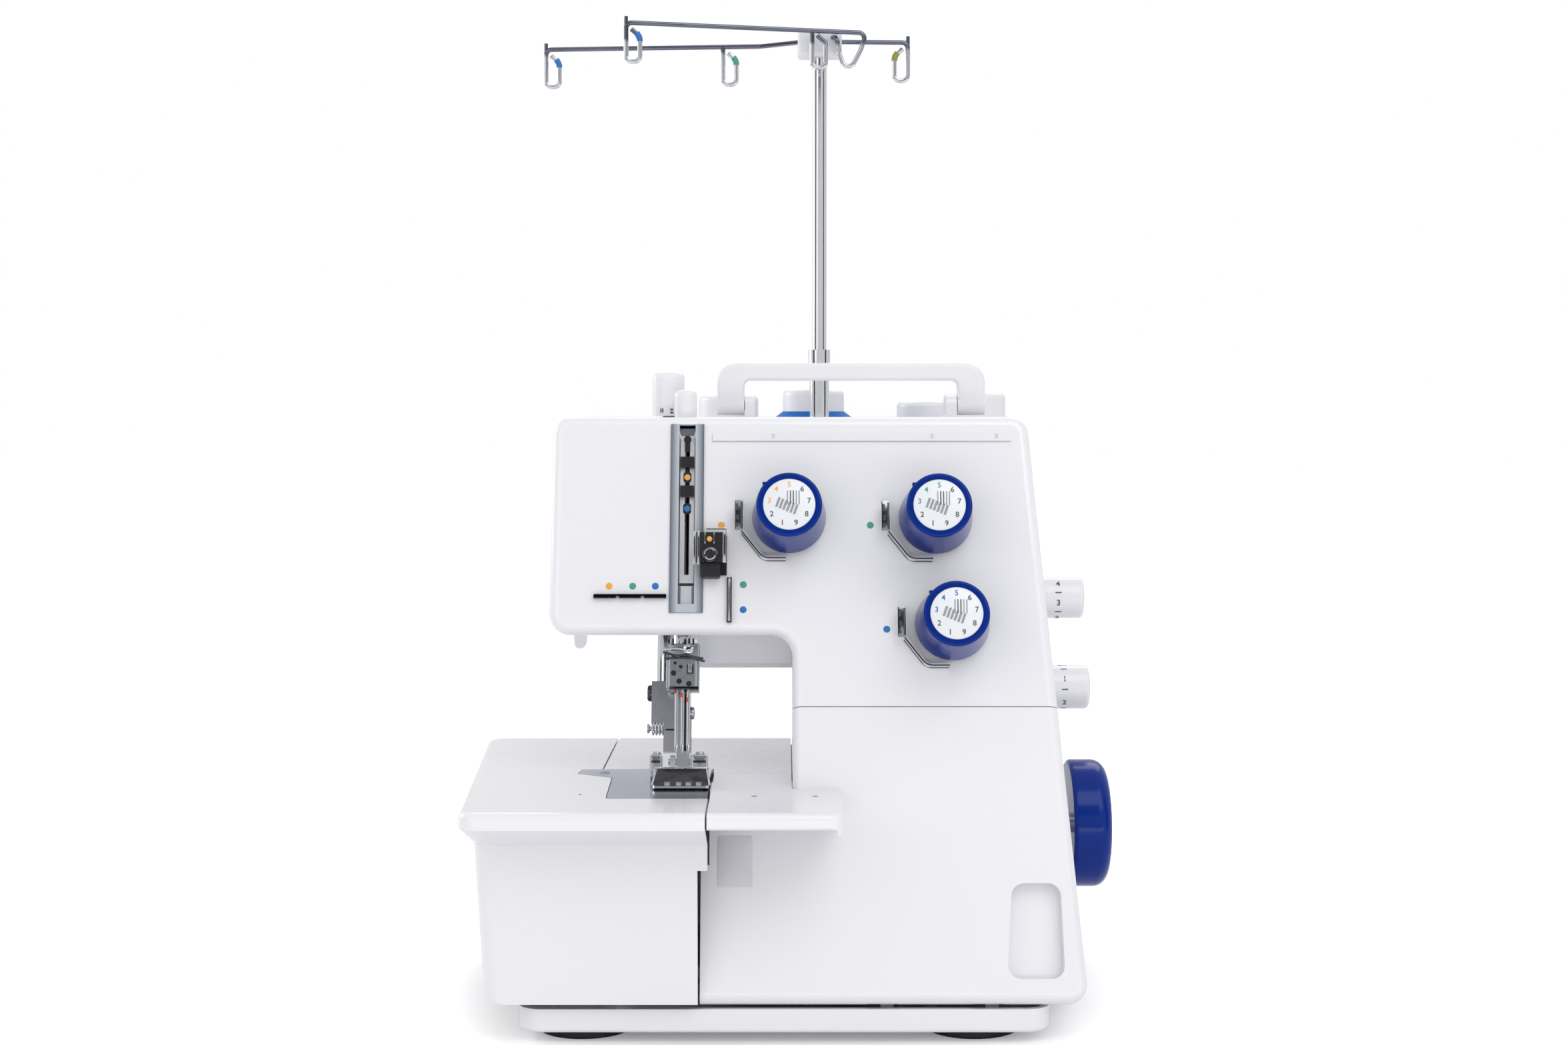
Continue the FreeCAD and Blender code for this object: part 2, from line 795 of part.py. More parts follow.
def make_front_panel(shell):
    above = seam_half(PART_GAP / 2, FAR)
    panel = shell.common(above).common(box(-FAR, FAR, -FAR, REAR_SPLIT, 0, FAR))
    slot = box(SLOT_LEFT, SLOT_RIGHT, -SLOT_DEPTH, 2 * WALL,
               along(HEAD_BOTTOM + SLOT_LOW_RISE), along(CASE_TOP - SLOT_TOP_DROP))
    groove = box(RAIL_LEFT - SEAT_GAP, RAIL_RIGHT + SEAT_GAP, -WALL, RAIL_DEPTH,
                 rail_low() - SEAT_GAP, rail_low() + RAIL_HEIGHT + SEAT_GAP)
    tools = [placed(slot, PANEL), placed(groove, PANEL)]
    for name in DIALS:
        across, up = dial_spot(name)
        tools.append(placed(rod((across, -WALL, up), BACK, STUD_RADIUS + RUN_CLEAR, 3 * WALL), PANEL))
    top = CASE_TOP - 2 * WALL
    tools.append(rod((NEEDLE_X, needle_y(CASE_TOP), top), UP, BAR_RADIUS + BAR_ROOM, 3 * WALL))
    tools.append(rod((PRESSER_X, PRESSER_TOP_Y, top), UP, PRESSURE_STEM + RUN_CLEAR, 3 * WALL))
    gate = box(BLOCK_LEFT, CLAMP_HALF + BAR_ROOM, -CLAMP_DEPTH - BAR_ROOM, PRESSER_BEHIND + YOKE_BLOCK,
               along(HEAD_BOTTOM) - 2 * WALL, along(HEAD_BOTTOM) + LOW_BLOCK_RISE - WALL)
    tools.append(placed(gate, NEEDLE))
    tools.append(lamp_box(WALL, WALL))
    return cut_all(panel, tools)


def handle_boss(x0):
    reach = HANDLE_DEPTH / 2
    block = box(x0, x0 + BOSS_WIDTH, HANDLE_Y - reach, HANDLE_Y + reach, CASE_TOP - OVERRUN, HANDLE_PIVOT_Z)
    return block.fuse(rod((x0, HANDLE_Y, HANDLE_PIVOT_Z), RIGHT, reach, BOSS_WIDTH))


def boss_places():
    inner = HANDLE_LEG + HANDLE_SIDE_GAP
    return HANDLE_LEFT + inner, HANDLE_RIGHT - inner - BOSS_WIDTH


def back_opening(x, width):
    return box(x, x + width, CASE_BACK - 2 * WALL, CASE_BACK + OVERRUN, INLET_Z, INLET_Z + INLET_HEIGHT)


def switch_pin(reach, radius):
    """Cross pin of the rocker, which lies in a groove inside the case wall."""
    return rod((SWITCH_X - reach, CASE_BACK - SWITCH_PIVOT, INLET_Z + INLET_HEIGHT / 2), RIGHT, radius,
               SWITCH_WIDTH + 2 * reach)


def make_rear_cover(shell):
    upper = box(-FAR, FAR, REAR_SPLIT + PART_GAP, FAR, 0, FAR)
    lower = box(-FAR, FAR, COVER_BACK + PART_GAP, FAR, 0, FAR).common(seam_half(-FAR, -PART_GAP / 2))
    cover = shell.common(join([upper, lower]))
    left_boss, right_boss = boss_places()
    cover = join([cover, handle_boss(left_boss), handle_boss(right_boss)])
    tools = []
    for x in (left_boss - BOSS_BLIND, right_boss + BOSS_BLIND):
        tools.append(rod((x, HANDLE_Y, HANDLE_PIVOT_Z), RIGHT, HANDLE_PIN + RUN_CLEAR, BOSS_WIDTH))
    tools.append(rod((SIDE_HIGH_X, SHAFT_Y, SHAFT_Z), RIGHT, SHAFT_RADIUS + BAR_ROOM, FAR))
    for z in (LENGTH_KNOB_Z, FEED_KNOB_Z):
        tools.append(rod((right_x(z) - KNOB_STEM, KNOB_Y, z), RIGHT, KNOB_STEM_RADIUS + RUN_CLEAR, FAR))
    left_wall = (TOWER_LEFT - OVERRUN, TOWER_LEFT + WALL + OVERRUN)
    tools.append(box(*left_wall, COVER_BACK, TABLE_BACK - WALL, 0, BED_Z - UNDER_BED))
    tools.append(box(*left_wall, COVER_BACK, LEDGE_BACK + OVERRUN, 0, BED_Z + PART_GAP))
    tools.append(rod((LIFTER_X, CASE_BACK - 2 * WALL, LIFTER_Z), BACK, LIFTER_PIN + PART_GAP, 4 * WALL))
    tools.append(back_opening(INLET_X, INLET_WIDTH))
    tools.append(back_opening(SWITCH_X, SWITCH_WIDTH))
    tools.append(switch_pin(SWITCH_PIN_REACH + SEAT_GAP, SWITCH_PIN + RUN_CLEAR))
    return cut_all(cover, tools)


def make_case_screws():
    """Round heads of the screws in the back of the case."""
    screws = []
    for x in (TOWER_LEFT + SCREW_INSET, SIDE_HIGH_X - SCREW_INSET, HEAD_LEFT + SCREW_INSET):
        head = rod((x, CASE_BACK, CASE_TOP - SCREW_INSET), BACK, SCREW_RADIUS, SCREW_HEIGHT)
        screws.append(soften(head, SCREW_ROUND, lambda point: point.y > CASE_BACK + SCREW_HEIGHT - TOUCH))
    return screws


# Front cover


def cover_outline(inset):
    low = SKIRT_Z + inset
    high = SEAM_Z + SEAM_RISE
    under = BED_Z - UNDER_BED - inset
    return [
        (COVER_LEFT + inset, low, 0),
        (right_x(low) - inset, low, TOP_CORNER - inset),
        (right_x(high) - inset, high, 0),
        (TOWER_LEFT + inset, high, 0),
        (TOWER_LEFT + inset, under, 0),
        (COVER_STEP_LEFT + inset, under, 0),
        (COVER_STEP_LEFT + inset, COVER_STEP_Z + inset, 0),
        (COVER_LEFT + inset, COVER_STEP_Z + inset, 0),
    ]


def cover_solid(inset, back):
    return front_prism(cover_outline(inset), 0, back).common(behind_panel(inset))


def ledge_profile(back):
    under = BED_Z - LIP_THICK
    return [(back, under, 0), (LIP_THICK, under, LIP_INNER_ROUND), (LIP_THICK, LIP_Z, LIP_ROUND),
            (0, LIP_Z, LIP_ROUND), (0, BED_Z, NOSE_ROUND), (back, BED_Z, 0)]


def cover_ledge():
    """Bed ledge with a turned down lip and a curled right end."""
    wide = side_prism(ledge_profile(PANEL_Y + OVERRUN), LEDGE_LEFT, LEDGE_RIGHT)
    deep = side_prism(ledge_profile(LEDGE_BACK), LEDGE_LEFT, TOWER_LEFT - PART_GAP)
    curl_low = LIP_Z - CURL_DROP
    curl_high = BED_Z - LIP_ROUND
    curl = side_prism([(0, curl_low, CURL_ROUND), (0, curl_high, LIP_ROUND), (PANEL_Y, curl_high, 0),
                       (panel_y(curl_low) + OVERRUN, curl_low, 0)], LEDGE_RIGHT - LIP_THICK, LEDGE_RIGHT)
    plan = plan_prism([(LEDGE_LEFT - OVERRUN, -OVERRUN, 0), (LEDGE_RIGHT, -TOUCH, LEDGE_CORNER),
                       (LEDGE_RIGHT, LEDGE_BACK + OVERRUN, 0),
                       (LEDGE_LEFT - OVERRUN, LEDGE_BACK + OVERRUN, 0)],
                      curl_low - OVERRUN, BED_Z + OVERRUN)
    return join([wide, deep, curl]).common(plan)


def scoop_shapes():
    """Finger recess and the pocket behind it."""
    right = SCOOP_LEFT + SCOOP_WIDTH
    low = along(SCOOP_LOW)
    high = along(SCOOP_LOW + SCOOP_HEIGHT)
    recess = front_prism([(SCOOP_LEFT, low, SCOOP_CORNER), (right, low, SCOOP_CORNER),
                          (right - SCOOP_LEAN_RIGHT, high, SCOOP_CORNER),
                          (SCOOP_LEFT + SCOOP_LEAN_LEFT, high, SCOOP_CORNER)], -WALL, SCOOP_DEPTH)
    pocket = box(SCOOP_LEFT - WALL, right + WALL, WALL / 2, SCOOP_DEPTH + WALL, low - WALL, high + WALL)
    return placed(recess, PANEL), placed(pocket, PANEL).common(cover_solid(WALL / 4, COVER_BACK))


def make_front_cover():
    def rounded(point):
        on_front = abs(depth_in_panel(point)) < TOUCH
        low = point.z < SKIRT_Z + TOP_CORNER + 1
        right = point.x > SCOOP_LEFT
        inner_corner = abs(point.x - TOWER_LEFT) < TOUCH
        return on_front and (low or right or inner_corner)

    outer = soften(cover_solid(0, COVER_BACK), EDGE_ROUND, rounded)
    shell = outer.cut(cover_solid(WALL, COVER_BACK + OVERRUN)).common(seam_half(-FAR, -PART_GAP / 2))
    lugs = []
    for x in (HINGE_LEFT + LUG_INSET, HINGE_RIGHT - LUG_INSET - LUG_WIDTH):
        wall = HINGE_RADIUS + HINGE_WALL
        lugs.append(box(x, x + LUG_WIDTH, HINGE_Y - wall, HINGE_Y + wall,
                        SKIRT_Z + OVERRUN, HINGE_Z + wall))
    scoop, pocket = scoop_shapes()
    cover = join([shell, cover_ledge(), pocket] + lugs)
    hinge_hole = rod((HINGE_LEFT - COVER_SLIDE, HINGE_Y, HINGE_Z), RIGHT, HINGE_RADIUS + RUN_CLEAR,
                     HINGE_RIGHT - HINGE_LEFT + 2 * COVER_SLIDE)
    left_room = box(COVER_LEFT - OVERRUN, COVER_STEP_LEFT + TOUCH, panel_y(COVER_STEP_Z) + WALL, FAR,
                    0, COVER_STEP_Z + OVERRUN)
    tools = [scoop, hinge_hole, left_room]
    for x in post_places():
        tools.append(box(x - COVER_SLIDE - POST_ROOM, x + POST_WIDTH + POST_ROOM,
                         HINGE_Y - HINGE_RADIUS - OVERRUN, FAR,
                         SKIRT_Z - OVERRUN, HINGE_Z + POST_BEHIND + POST_ROOM))
    return cut_all(cover, tools)


def make_cover_hinge_rod():
    return rod((HINGE_LEFT, HINGE_Y, HINGE_Z), RIGHT, HINGE_RADIUS, HINGE_RIGHT - HINGE_LEFT)


def post_places():
    return HINGE_LEFT + POST_INSET, HINGE_RIGHT - POST_INSET - POST_WIDTH


# Bed and base


def table_slabs(inset, right):
    """Solids of the table between its outlines, from the top down."""
    rows = [
        (BED_Z, 0.0, 0.0, 0.0),
        (LIP_Z, 0.0, 0.0, 0.0),
        (BED_Z - TABLE_FLANK_DROP, TABLE_FLANK_FRONT, TABLE_FLANK_LEFT, TABLE_FLANK_BACK),
        (TABLE_FOOT_Z, TABLE_FOOT_FRONT, TABLE_FOOT_LEFT, TABLE_FOOT_BACK),
    ]
    heights = [row[0] for row in rows]
    if inset:
        heights = [BED_Z - inset, LIP_Z + OVERRUN, heights[2], TABLE_FOOT_Z - 2 * inset]
    corner = TABLE_CORNER - inset
    wires = []
    for height, (_, front, left, back) in zip(heights, rows):
        points = [(TABLE_FRONT_LEFT + left + inset, front + inset, corner), (right, front + inset, 0),
                  (right, TABLE_BACK - back - inset, 0),
                  (TABLE_BACK_LEFT + left + inset, TABLE_BACK - back - inset, corner)]
        wires.append(rounded_wire(points, lambda a, b, z=height: Vec(a, b, z)))
    return [Part.makeLoft([upper, lower], True, True) for upper, lower in zip(wires[:-1], wires[1:])]


def plate_outline(grow):
    return [
        (PLATE_RIGHT + grow, PLATE_FRONT - grow, 0),
        (PLATE_LEFT - grow, PLATE_FRONT - grow, PLATE_CORNER),
        (PLATE_LEFT - PLATE_LEAN - grow, PLATE_NECK_Y - grow, PLATE_NECK_CORNER),
        (PLATE_TAB_LEFT - grow, PLATE_TAB_Y - grow, PLATE_NECK_CORNER),
        (PLATE_TAB_LEFT + PLATE_LEAN - grow, PLATE_BACK - PLATE_BACK_LEAN + grow, PLATE_BACK_CORNER),
        (PLATE_RIGHT + grow, PLATE_BACK + grow, 0),
    ]


def make_extension_table():
    cap, flank, lower = table_slabs(0, SEAM_X)

    def top_rim(point):
        return abs(point.z - BED_Z) < TOUCH

    rim = []
    for edge in cap.Edges:
        on_top = all(top_rim(vertex.Point) for vertex in edge.Vertexes)
        at_seam = all(vertex.Point.x > SEAM_X - TOUCH for vertex in edge.Vertexes)
        if on_top and not at_seam:
            rim.append(edge)
    cap = cap.makeFillet(NOSE_ROUND, rim)
    shell = join([cap, flank, lower]).cut(join(table_slabs(WALL, SEAM_X + WALL)))
    lean = TABLE_BACK_LEFT - TABLE_FRONT_LEFT
    depth = TABLE_BACK - TABLE_FOOT_BACK - TABLE_FOOT_FRONT
    side = TABLE_FRONT_LEFT - RUN_CLEAR
    knee = BED_Z - TABLE_FLANK_DROP
    corner = rounded_wire([(side + TABLE_FLANK_LEFT, knee, 0),
                           (side + TABLE_FOOT_LEFT, TABLE_FOOT_Z, TABLE_LOW_CORNER),
                           (SEAM_X, TABLE_FOOT_Z, 0), (SEAM_X, knee, 0)],
                          lambda a, b: Vec(a - lean, TABLE_FOOT_FRONT - depth, b))
    rounding = Part.Face(corner).extrude(Vec(3 * lean, 3 * depth, 0))
    low_left = box(TABLE_BACK_LEFT - WALL, TABLE_FRONT_LEFT + 2 * TABLE_LOW_CORNER, -WALL, CASE_BACK,
                   TABLE_FOOT_Z - OVERRUN, TABLE_FOOT_Z + 2 * TABLE_LOW_CORNER)
    deep = BED_Z - FOOT_RADIUS
    hole = plan_prism(plate_outline(PLATE_GAP), deep, BED_Z + OVERRUN)
    open_right = box(PLATE_RIGHT - OVERRUN, FAR, PLATE_FRONT - PLATE_GAP, PLATE_BACK + PLATE_GAP,
                     deep, BED_Z + OVERRUN)
    rear_room = box(TABLE_SPLIT_X - TABLE_SLIT, FAR, PLATE_BACK, FAR, 0, BED_Z + OVERRUN)
    step = box(COVER_LEFT - 2 * PART_GAP, FAR, -WALL, FAR, 0, COVER_STEP_Z + STEP_CLEAR)
    return cut_all(shell, [hole, open_right, rear_room, step, low_left.cut(rounding)])


def make_rear_bed():
    left = TABLE_SPLIT_X + TABLE_SLIT
    right = TOWER_LEFT - PART_GAP
    under = BED_Z - PLATE_THICK
    top = box(left, right, PLATE_BACK + PLATE_GAP, TABLE_BACK, under, BED_Z)
    front = box(SEAM_X + PLATE_GAP, right, LEDGE_BACK + PLATE_GAP, PLATE_BACK + WALL, under, BED_Z)
    wall = box(left, right, TABLE_BACK - WALL, TABLE_BACK, SKIRT_Z, BED_Z)
    bed = join([top, front, wall])
    return soften(bed, BED_ROUND, lambda point: abs(point.z - BED_Z) + abs(point.y - TABLE_BACK) < TOUCH)


def feed_rows():
    """Middle, front and back of each toothed row, in the front set and in the rear set."""
    return [(NEEDLE_X + row, NEEDLE_Y + start, NEEDLE_Y + end)
            for row in FEED_ROWS for start, end in (FEED_FRONT, FEED_REAR)]


def make_needle_plate():
    plate = plan_prism(plate_outline(0), BED_Z - PLATE_THICK, BED_Z)
    tools = []
    half = FEED_ROW_WIDTH / 2 + PLATE_GAP
    spare = FEED_TRAVEL + PLATE_GAP
    for x, y0, y1 in feed_rows():
        tools.append(box(x - half, x + half, y0 - spare, y1 + spare, 0, FAR))
    half = NEEDLE_SPACING + 2 * NEEDLE_RADIUS
    tools.append(box(NEEDLE_X - half, NEEDLE_X + half, NEEDLE_Y - 2 * NEEDLE_FORWARD, NEEDLE_Y, 0, FAR))
    return cut_all(plate, tools)


def feed_row(x, y0, y1, low):
    """One toothed row of the feed dog."""
    teeth = int((y1 - y0) / FEED_PITCH)
    pitch = (y1 - y0) / teeth
    top = BED_Z + FEED_PROUD
    points = [(y0, low, 0)]
    for tooth in range(teeth):
        points.append((y0 + tooth * pitch, top - FEED_TOOTH, 0))
        points.append((y0 + (tooth + FEED_TOOTH_LEAN) * pitch, top, 0))
    points.append((y1, top - FEED_TOOTH, 0))
    points.append((y1, low, 0))
    return side_prism(points, x - FEED_ROW_WIDTH / 2, x + FEED_ROW_WIDTH / 2)


def make_feed_dog():
    low = BED_Z - FEED_LOW_DROP
    high = BED_Z - FEED_TOP_DROP
    left = NEEDLE_X + FEED_ROWS[0] - FEED_ROW_WIDTH / 2
    right = NEEDLE_X + FEED_ROWS[-1] + FEED_ROW_WIDTH / 2
    front, middle_front = (NEEDLE_Y + place for place in FEED_FRONT)
    middle_back, back = (NEEDLE_Y + place for place in FEED_REAR)
    drop = low - 3 * FEED_BAR
    pieces = [box(left, right, front, middle_front, low, high),
              box(left, right, middle_back, back, low, high),
              box(left - FEED_ROW_WIDTH, left, front, back, low, high),
              box(NEEDLE_X, NEEDLE_X + FEED_BAR, back - FEED_BAR, back, drop, low),
              box(NEEDLE_X, NEEDLE_X + FEED_BAR, back - FEED_BAR, FRAME_BACK - 2 * FRAME_LEG,
                  drop - FEED_BAR, drop)]
    for x, y0, y1 in feed_rows():
        pieces.append(feed_row(x, y0, y1, high - FEED_TOOTH))
    return join(pieces)


def make_base_tray():
    def outline(inset):
        corner = TRAY_CORNER - inset
        back = CASE_BACK - TRAY_BACK_INSET - inset
        half = TRAY_HALF - inset
        front = TRAY_FRONT + inset
        return [(-half, front, corner), (half, front, corner), (half, back, corner), (-half, back, corner)]

    outer = plan_prism(outline(0), TRAY_BOTTOM, TRAY_TOP)
    outer = soften(outer, TRAY_ROUND, lambda point: abs(point.z - TRAY_BOTTOM) < TOUCH)
    tray = outer.cut(plan_prism(outline(TRAY_WALL), FRAME_FLOOR, TRAY_TOP + OVERRUN))
    eye = HINGE_RADIUS + HINGE_WALL / 2
    post_y = HINGE_Y + POST_BEHIND
    pieces = [tray]
    for x in post_places():
        end = x + POST_WIDTH
        pieces.append(box(x, end, post_y, post_y + POST_THICK, TRAY_BOTTOM + OVERRUN,
                          HINGE_Z + 2 * HINGE_RADIUS))
        pieces.append(box(x, end, HINGE_Y, post_y + OVERRUN, HINGE_Z - eye, HINGE_Z + eye))
        pieces.append(rod((x, HINGE_Y, HINGE_Z), RIGHT, eye, POST_WIDTH))
    hole = rod((HINGE_LEFT, HINGE_Y, HINGE_Z), RIGHT, HINGE_RADIUS + RUN_CLEAR, HINGE_RIGHT - HINGE_LEFT)
    return join(pieces).cut(hole)


def make_feet():
    feet = []
    for x in (FOOT_LEFT_X, FOOT_RIGHT_X):
        for y in (FOOT_FRONT_Y, CASE_BACK - FOOT_BACK_INSET):
            foot = rod((x, y, 0), UP, FOOT_RADIUS, TRAY_BOTTOM)
            feet.append(soften(foot, FOOT_ROUND, lambda point: point.z < TOUCH))
    return feet


# Frame and drive


def bar_carrier():
    """Two blocks that guide the needle bar and the presser bar, and the plate behind them."""
    low = along(HEAD_BOTTOM)
    pieces = [box(LIFTER_X - NEEDLE_X - LIFTER_HALF, BLOCK_RIGHT, CARRIER_FRONT, CARRIER_BACK,
                  low + LOW_BLOCK_RISE, along(FRAME_TOP) + BLOCK_HEIGHT)]
    for rise in (LOW_BLOCK_RISE, HIGH_BLOCK_RISE):
        pieces.append(box(BLOCK_LEFT, BLOCK_RIGHT, BLOCK_FRONT, CARRIER_BACK,
                          low + rise, low + rise + BLOCK_HEIGHT))
    return placed(join(pieces), NEEDLE).common(box(-FAR, FAR, -FAR, FAR, HEAD_BOTTOM + 2 * WALL, FRAME_TOP))


def make_main_frame():
    right = FRAME_RIGHT_X + FRAME_WALL
    slab_top = BED_Z - PLATE_THICK
    slab_low = slab_top - FRAME_SLAB
    slab_left = PLATE_LEFT + PLATE_GAP
    slab_right = FRAME_LEFT_X + OVERRUN
    pieces = [bar_carrier()]
    for x in (FRAME_LEFT_X, FRAME_RIGHT_X):
        pieces.append(box(x, x + FRAME_WALL, FRAME_FRONT, FRAME_BACK, FRAME_FLOOR, FRAME_TOP))
    pieces.append(box(PLATE_LEFT, right, FRAME_FRONT, FRAME_BACK, FRAME_FLOOR, FRAME_FLOOR + FRAME_BASE))
    pieces.append(box(HEAD_LEFT + BEAM_LEFT_INSET, right, FRAME_BACK - BEAM_DEPTH, FRAME_BACK,
                      FRAME_TOP - BEAM_HEIGHT, FRAME_TOP))
    slab = box(slab_left, slab_right, PLATE_BACK - PLATE_GAP, FRAME_BACK, slab_low, slab_top)
    ledge_room = box(SEAM_X - PLATE_GAP, FRAME_LEFT_X - FRAME_SLAB, 0, PLATE_BACK + OVERRUN, 0, FAR)
    pieces.append(slab.cut(ledge_room))
    pieces.append(box(slab_left, slab_left + PLATE_REST, PLATE_FRONT + PLATE_REST, PLATE_BACK,
                      slab_low, slab_top))
    pieces.append(box(slab_left, slab_right, FRAME_BACK - FRAME_LEG, FRAME_BACK, FRAME_FLOOR, slab_top))
    bar_hole = rod((0, 0, 0), UP, BAR_RADIUS + RUN_CLEAR, FAR)
    presser_hole = rod((PRESSER_SHIFT, PRESSER_BEHIND, 0), UP, PRESSER_RADIUS + RUN_CLEAR, FAR)
    tools = [
        rod((FRAME_LEFT_X - OVERRUN, SHAFT_Y, SHAFT_Z), RIGHT, SHAFT_RADIUS + BUSH_WALL, FAR),
        rod((FRAME_LEFT_X - OVERRUN, ARM_Y, ARM_Z), RIGHT, ARM_RADIUS + BUSH_WALL, FAR),
        placed(bar_hole, NEEDLE),
        placed(presser_hole, NEEDLE),
        rod((LIFTER_X, 0, LIFTER_Z), BACK, LIFTER_PIN + RUN_CLEAR, FAR),
        rod((LOOPER_X, FRAME_BACK - 2 * FRAME_LEG, LOOPER_Z), BACK, LOOPER_PIN + RUN_CLEAR, FAR),
    ]
    return cut_all(join(pieces), tools)


def make_shaft_bushes():
    bushes = []
    for y, z, radius in ((SHAFT_Y, SHAFT_Z, SHAFT_RADIUS), (ARM_Y, ARM_Z, ARM_RADIUS)):
        for x in (FRAME_LEFT_X, FRAME_RIGHT_X):
            bushes.append(ring((x, y, z), RIGHT, radius + BUSH_WALL, radius + RUN_CLEAR, FRAME_WALL))
    return bushes


def make_main_shaft():
    start = FRAME_LEFT_X - SHAFT_OVERHANG
    return rod((start, SHAFT_Y, SHAFT_Z), RIGHT, SHAFT_RADIUS, WHEEL_RIGHT - WHEEL_CAP - start)


def pulley(x, y, z, radius, bore):
    pieces = [ring((x, y, z), RIGHT, radius, bore, PULLEY_WIDTH)]
    lip = radius + BELT_THICK + FLANGE_LIP
    for start in (x - FLANGE_THICK, x + PULLEY_WIDTH):
        pieces.append(ring((start, y, z), RIGHT, lip, bore, FLANGE_THICK))
    return join(pieces)


def make_shaft_pulleys():
    return [pulley(MAIN_PULLEY_X, SHAFT_Y, SHAFT_Z, MAIN_PULLEY, SHAFT_RADIUS),
            pulley(TIMING_X, SHAFT_Y, SHAFT_Z, TIMING_PULLEY, SHAFT_RADIUS)]


def make_arm_pulley():
    return pulley(TIMING_X, ARM_Y, ARM_Z, TIMING_PULLEY, ARM_RADIUS)


def motor_ends():
    return FRAME_LEFT_X + FRAME_WALL, MAIN_PULLEY_X - MOTOR_CLEAR


def make_motor():
    start, end = motor_ends()
    can = rod((start, MOTOR_Y, MOTOR_Z), RIGHT, MOTOR_RADIUS, end - start)
    room = rod((start + MOTOR_WALL, MOTOR_Y, MOTOR_Z), RIGHT, MOTOR_RADIUS - MOTOR_WALL,
               end - start - 2 * MOTOR_WALL)
    nose = rod((start + MOTOR_WALL, MOTOR_Y, MOTOR_Z), RIGHT, MOTOR_SHAFT + RUN_CLEAR, FAR)
    return cut_all(can, [room, nose])


def make_motor_armature():
    """Rotor inside the motor can, on the shaft that carries the motor pulley."""
    start, end = motor_ends()
    inset = MOTOR_WALL + ARMATURE_GAP
    drum = rod((start + inset, MOTOR_Y, MOTOR_Z), RIGHT, ARMATURE_RADIUS, end - start - 2 * inset)
    shaft = rod((start + MOTOR_WALL, MOTOR_Y, MOTOR_Z), RIGHT, MOTOR_SHAFT,
                MAIN_PULLEY_X + PULLEY_WIDTH + FLANGE_LIP - start)
    return join([drum, shaft])


def make_motor_pulley():
    return pulley(MAIN_PULLEY_X, MOTOR_Y, MOTOR_Z, MOTOR_PULLEY, MOTOR_SHAFT)


def belt(x, y1, z1, r1, y2, z2, r2):
    """Flat belt round two pulleys, clear of them by a hair."""
    def loop(extra):
        a = Vec(x, y1, z1)
        b = Vec(x, y2, z2)
        line = b.sub(a)
        lean = math.asin((r1 - r2) / line.Length)
        heading = math.atan2(line.z, line.y)

        def spot(centre, radius, angle):
            return centre + Vec(0, radius * math.cos(angle), radius * math.sin(angle))

        side_a = heading + math.pi / 2 - lean
        side_b = heading - math.pi / 2 + lean
        big = r1 + extra
        small = r2 + extra
        edges = [
            Part.makeLine(spot(a, big, side_a), spot(b, small, side_a)),
            Part.Arc(spot(b, small, side_a), spot(b, small, heading), spot(b, small, side_b)).toShape(),
            Part.makeLine(spot(b, small, side_b), spot(a, big, side_b)),
            Part.Arc(spot(a, big, side_b), spot(a, big, heading + math.pi), spot(a, big, side_a)).toShape(),
        ]
        return Part.Face(Part.Wire(edges)).extrude(Vec(PULLEY_WIDTH - FLANGE_THICK, 0, 0))

    whole = loop(BELT_THICK + BELT_CLEAR).cut(loop(BELT_CLEAR))
    whole.translate(Vec(FLANGE_THICK / 2, 0, 0))
    return whole


def make_drive_belt():
    return belt(MAIN_PULLEY_X, SHAFT_Y, SHAFT_Z, MAIN_PULLEY, MOTOR_Y, MOTOR_Z, MOTOR_PULLEY)


def make_timing_belt():
    return belt(TIMING_X, SHAFT_Y, SHAFT_Z, TIMING_PULLEY, ARM_Y, ARM_Z, TIMING_PULLEY)


def make_arm_shaft():
    """Arm shaft with the needle crank at its left end."""
    length = FRAME_RIGHT_X + FRAME_WALL + BUSH_WALL - CRANK_X
    shaft = rod((CRANK_X, ARM_Y, ARM_Z), RIGHT, ARM_RADIUS, length)
    disc = rod((CRANK_X, ARM_Y, ARM_Z), RIGHT, CRANK_RADIUS, CRANK_THICK)
    pin_z = ARM_Z + CRANK_THROW
    pin = rod((CRANK_X - CRANK_PIN_LENGTH, ARM_Y, pin_z), RIGHT, CRANK_PIN, CRANK_PIN_LENGTH + OVERRUN)
    return join([shaft, disc, pin])


def make_handwheel():
    width = WHEEL_RIGHT - WHEEL_LEFT
    wheel = rod((WHEEL_LEFT, SHAFT_Y, SHAFT_Z), RIGHT, WHEEL_RADIUS, width)
    wheel = soften(wheel, WHEEL_ROUND, lambda point: point.x > WHEEL_RIGHT - TOUCH)
    wheel = soften(wheel, WHEEL_BACK_ROUND, lambda point: point.x < WHEEL_LEFT + TOUCH)
    bore = rod((WHEEL_LEFT - OVERRUN, SHAFT_Y, SHAFT_Z), RIGHT, SHAFT_RADIUS, width - WHEEL_CAP + OVERRUN)
    return wheel.cut(bore)


# Needles, presser and looper


def make_needle_bar():
    low = CLAMP_LOW + CLAMP_SEAT
    bar = rod((0, 0, low), UP, BAR_RADIUS, along(CASE_TOP) - BAR_TOP_DROP - low)
    middle = along(ARM_Z)
    grip = box(-YOKE_BLOCK, YOKE_BLOCK, -YOKE_BLOCK, YOKE_BLOCK + WALL,
               middle - YOKE_HALF, middle + YOKE_HALF)
    yoke = box(YOKE_LEFT, YOKE_RIGHT, 0, YOKE_BACK, middle - YOKE_HALF, middle + YOKE_HALF)
    return placed(join([bar, grip, yoke]), NEEDLE)


def needle_places():
    return [step * NEEDLE_SPACING for step in (-1, 0, 1)]


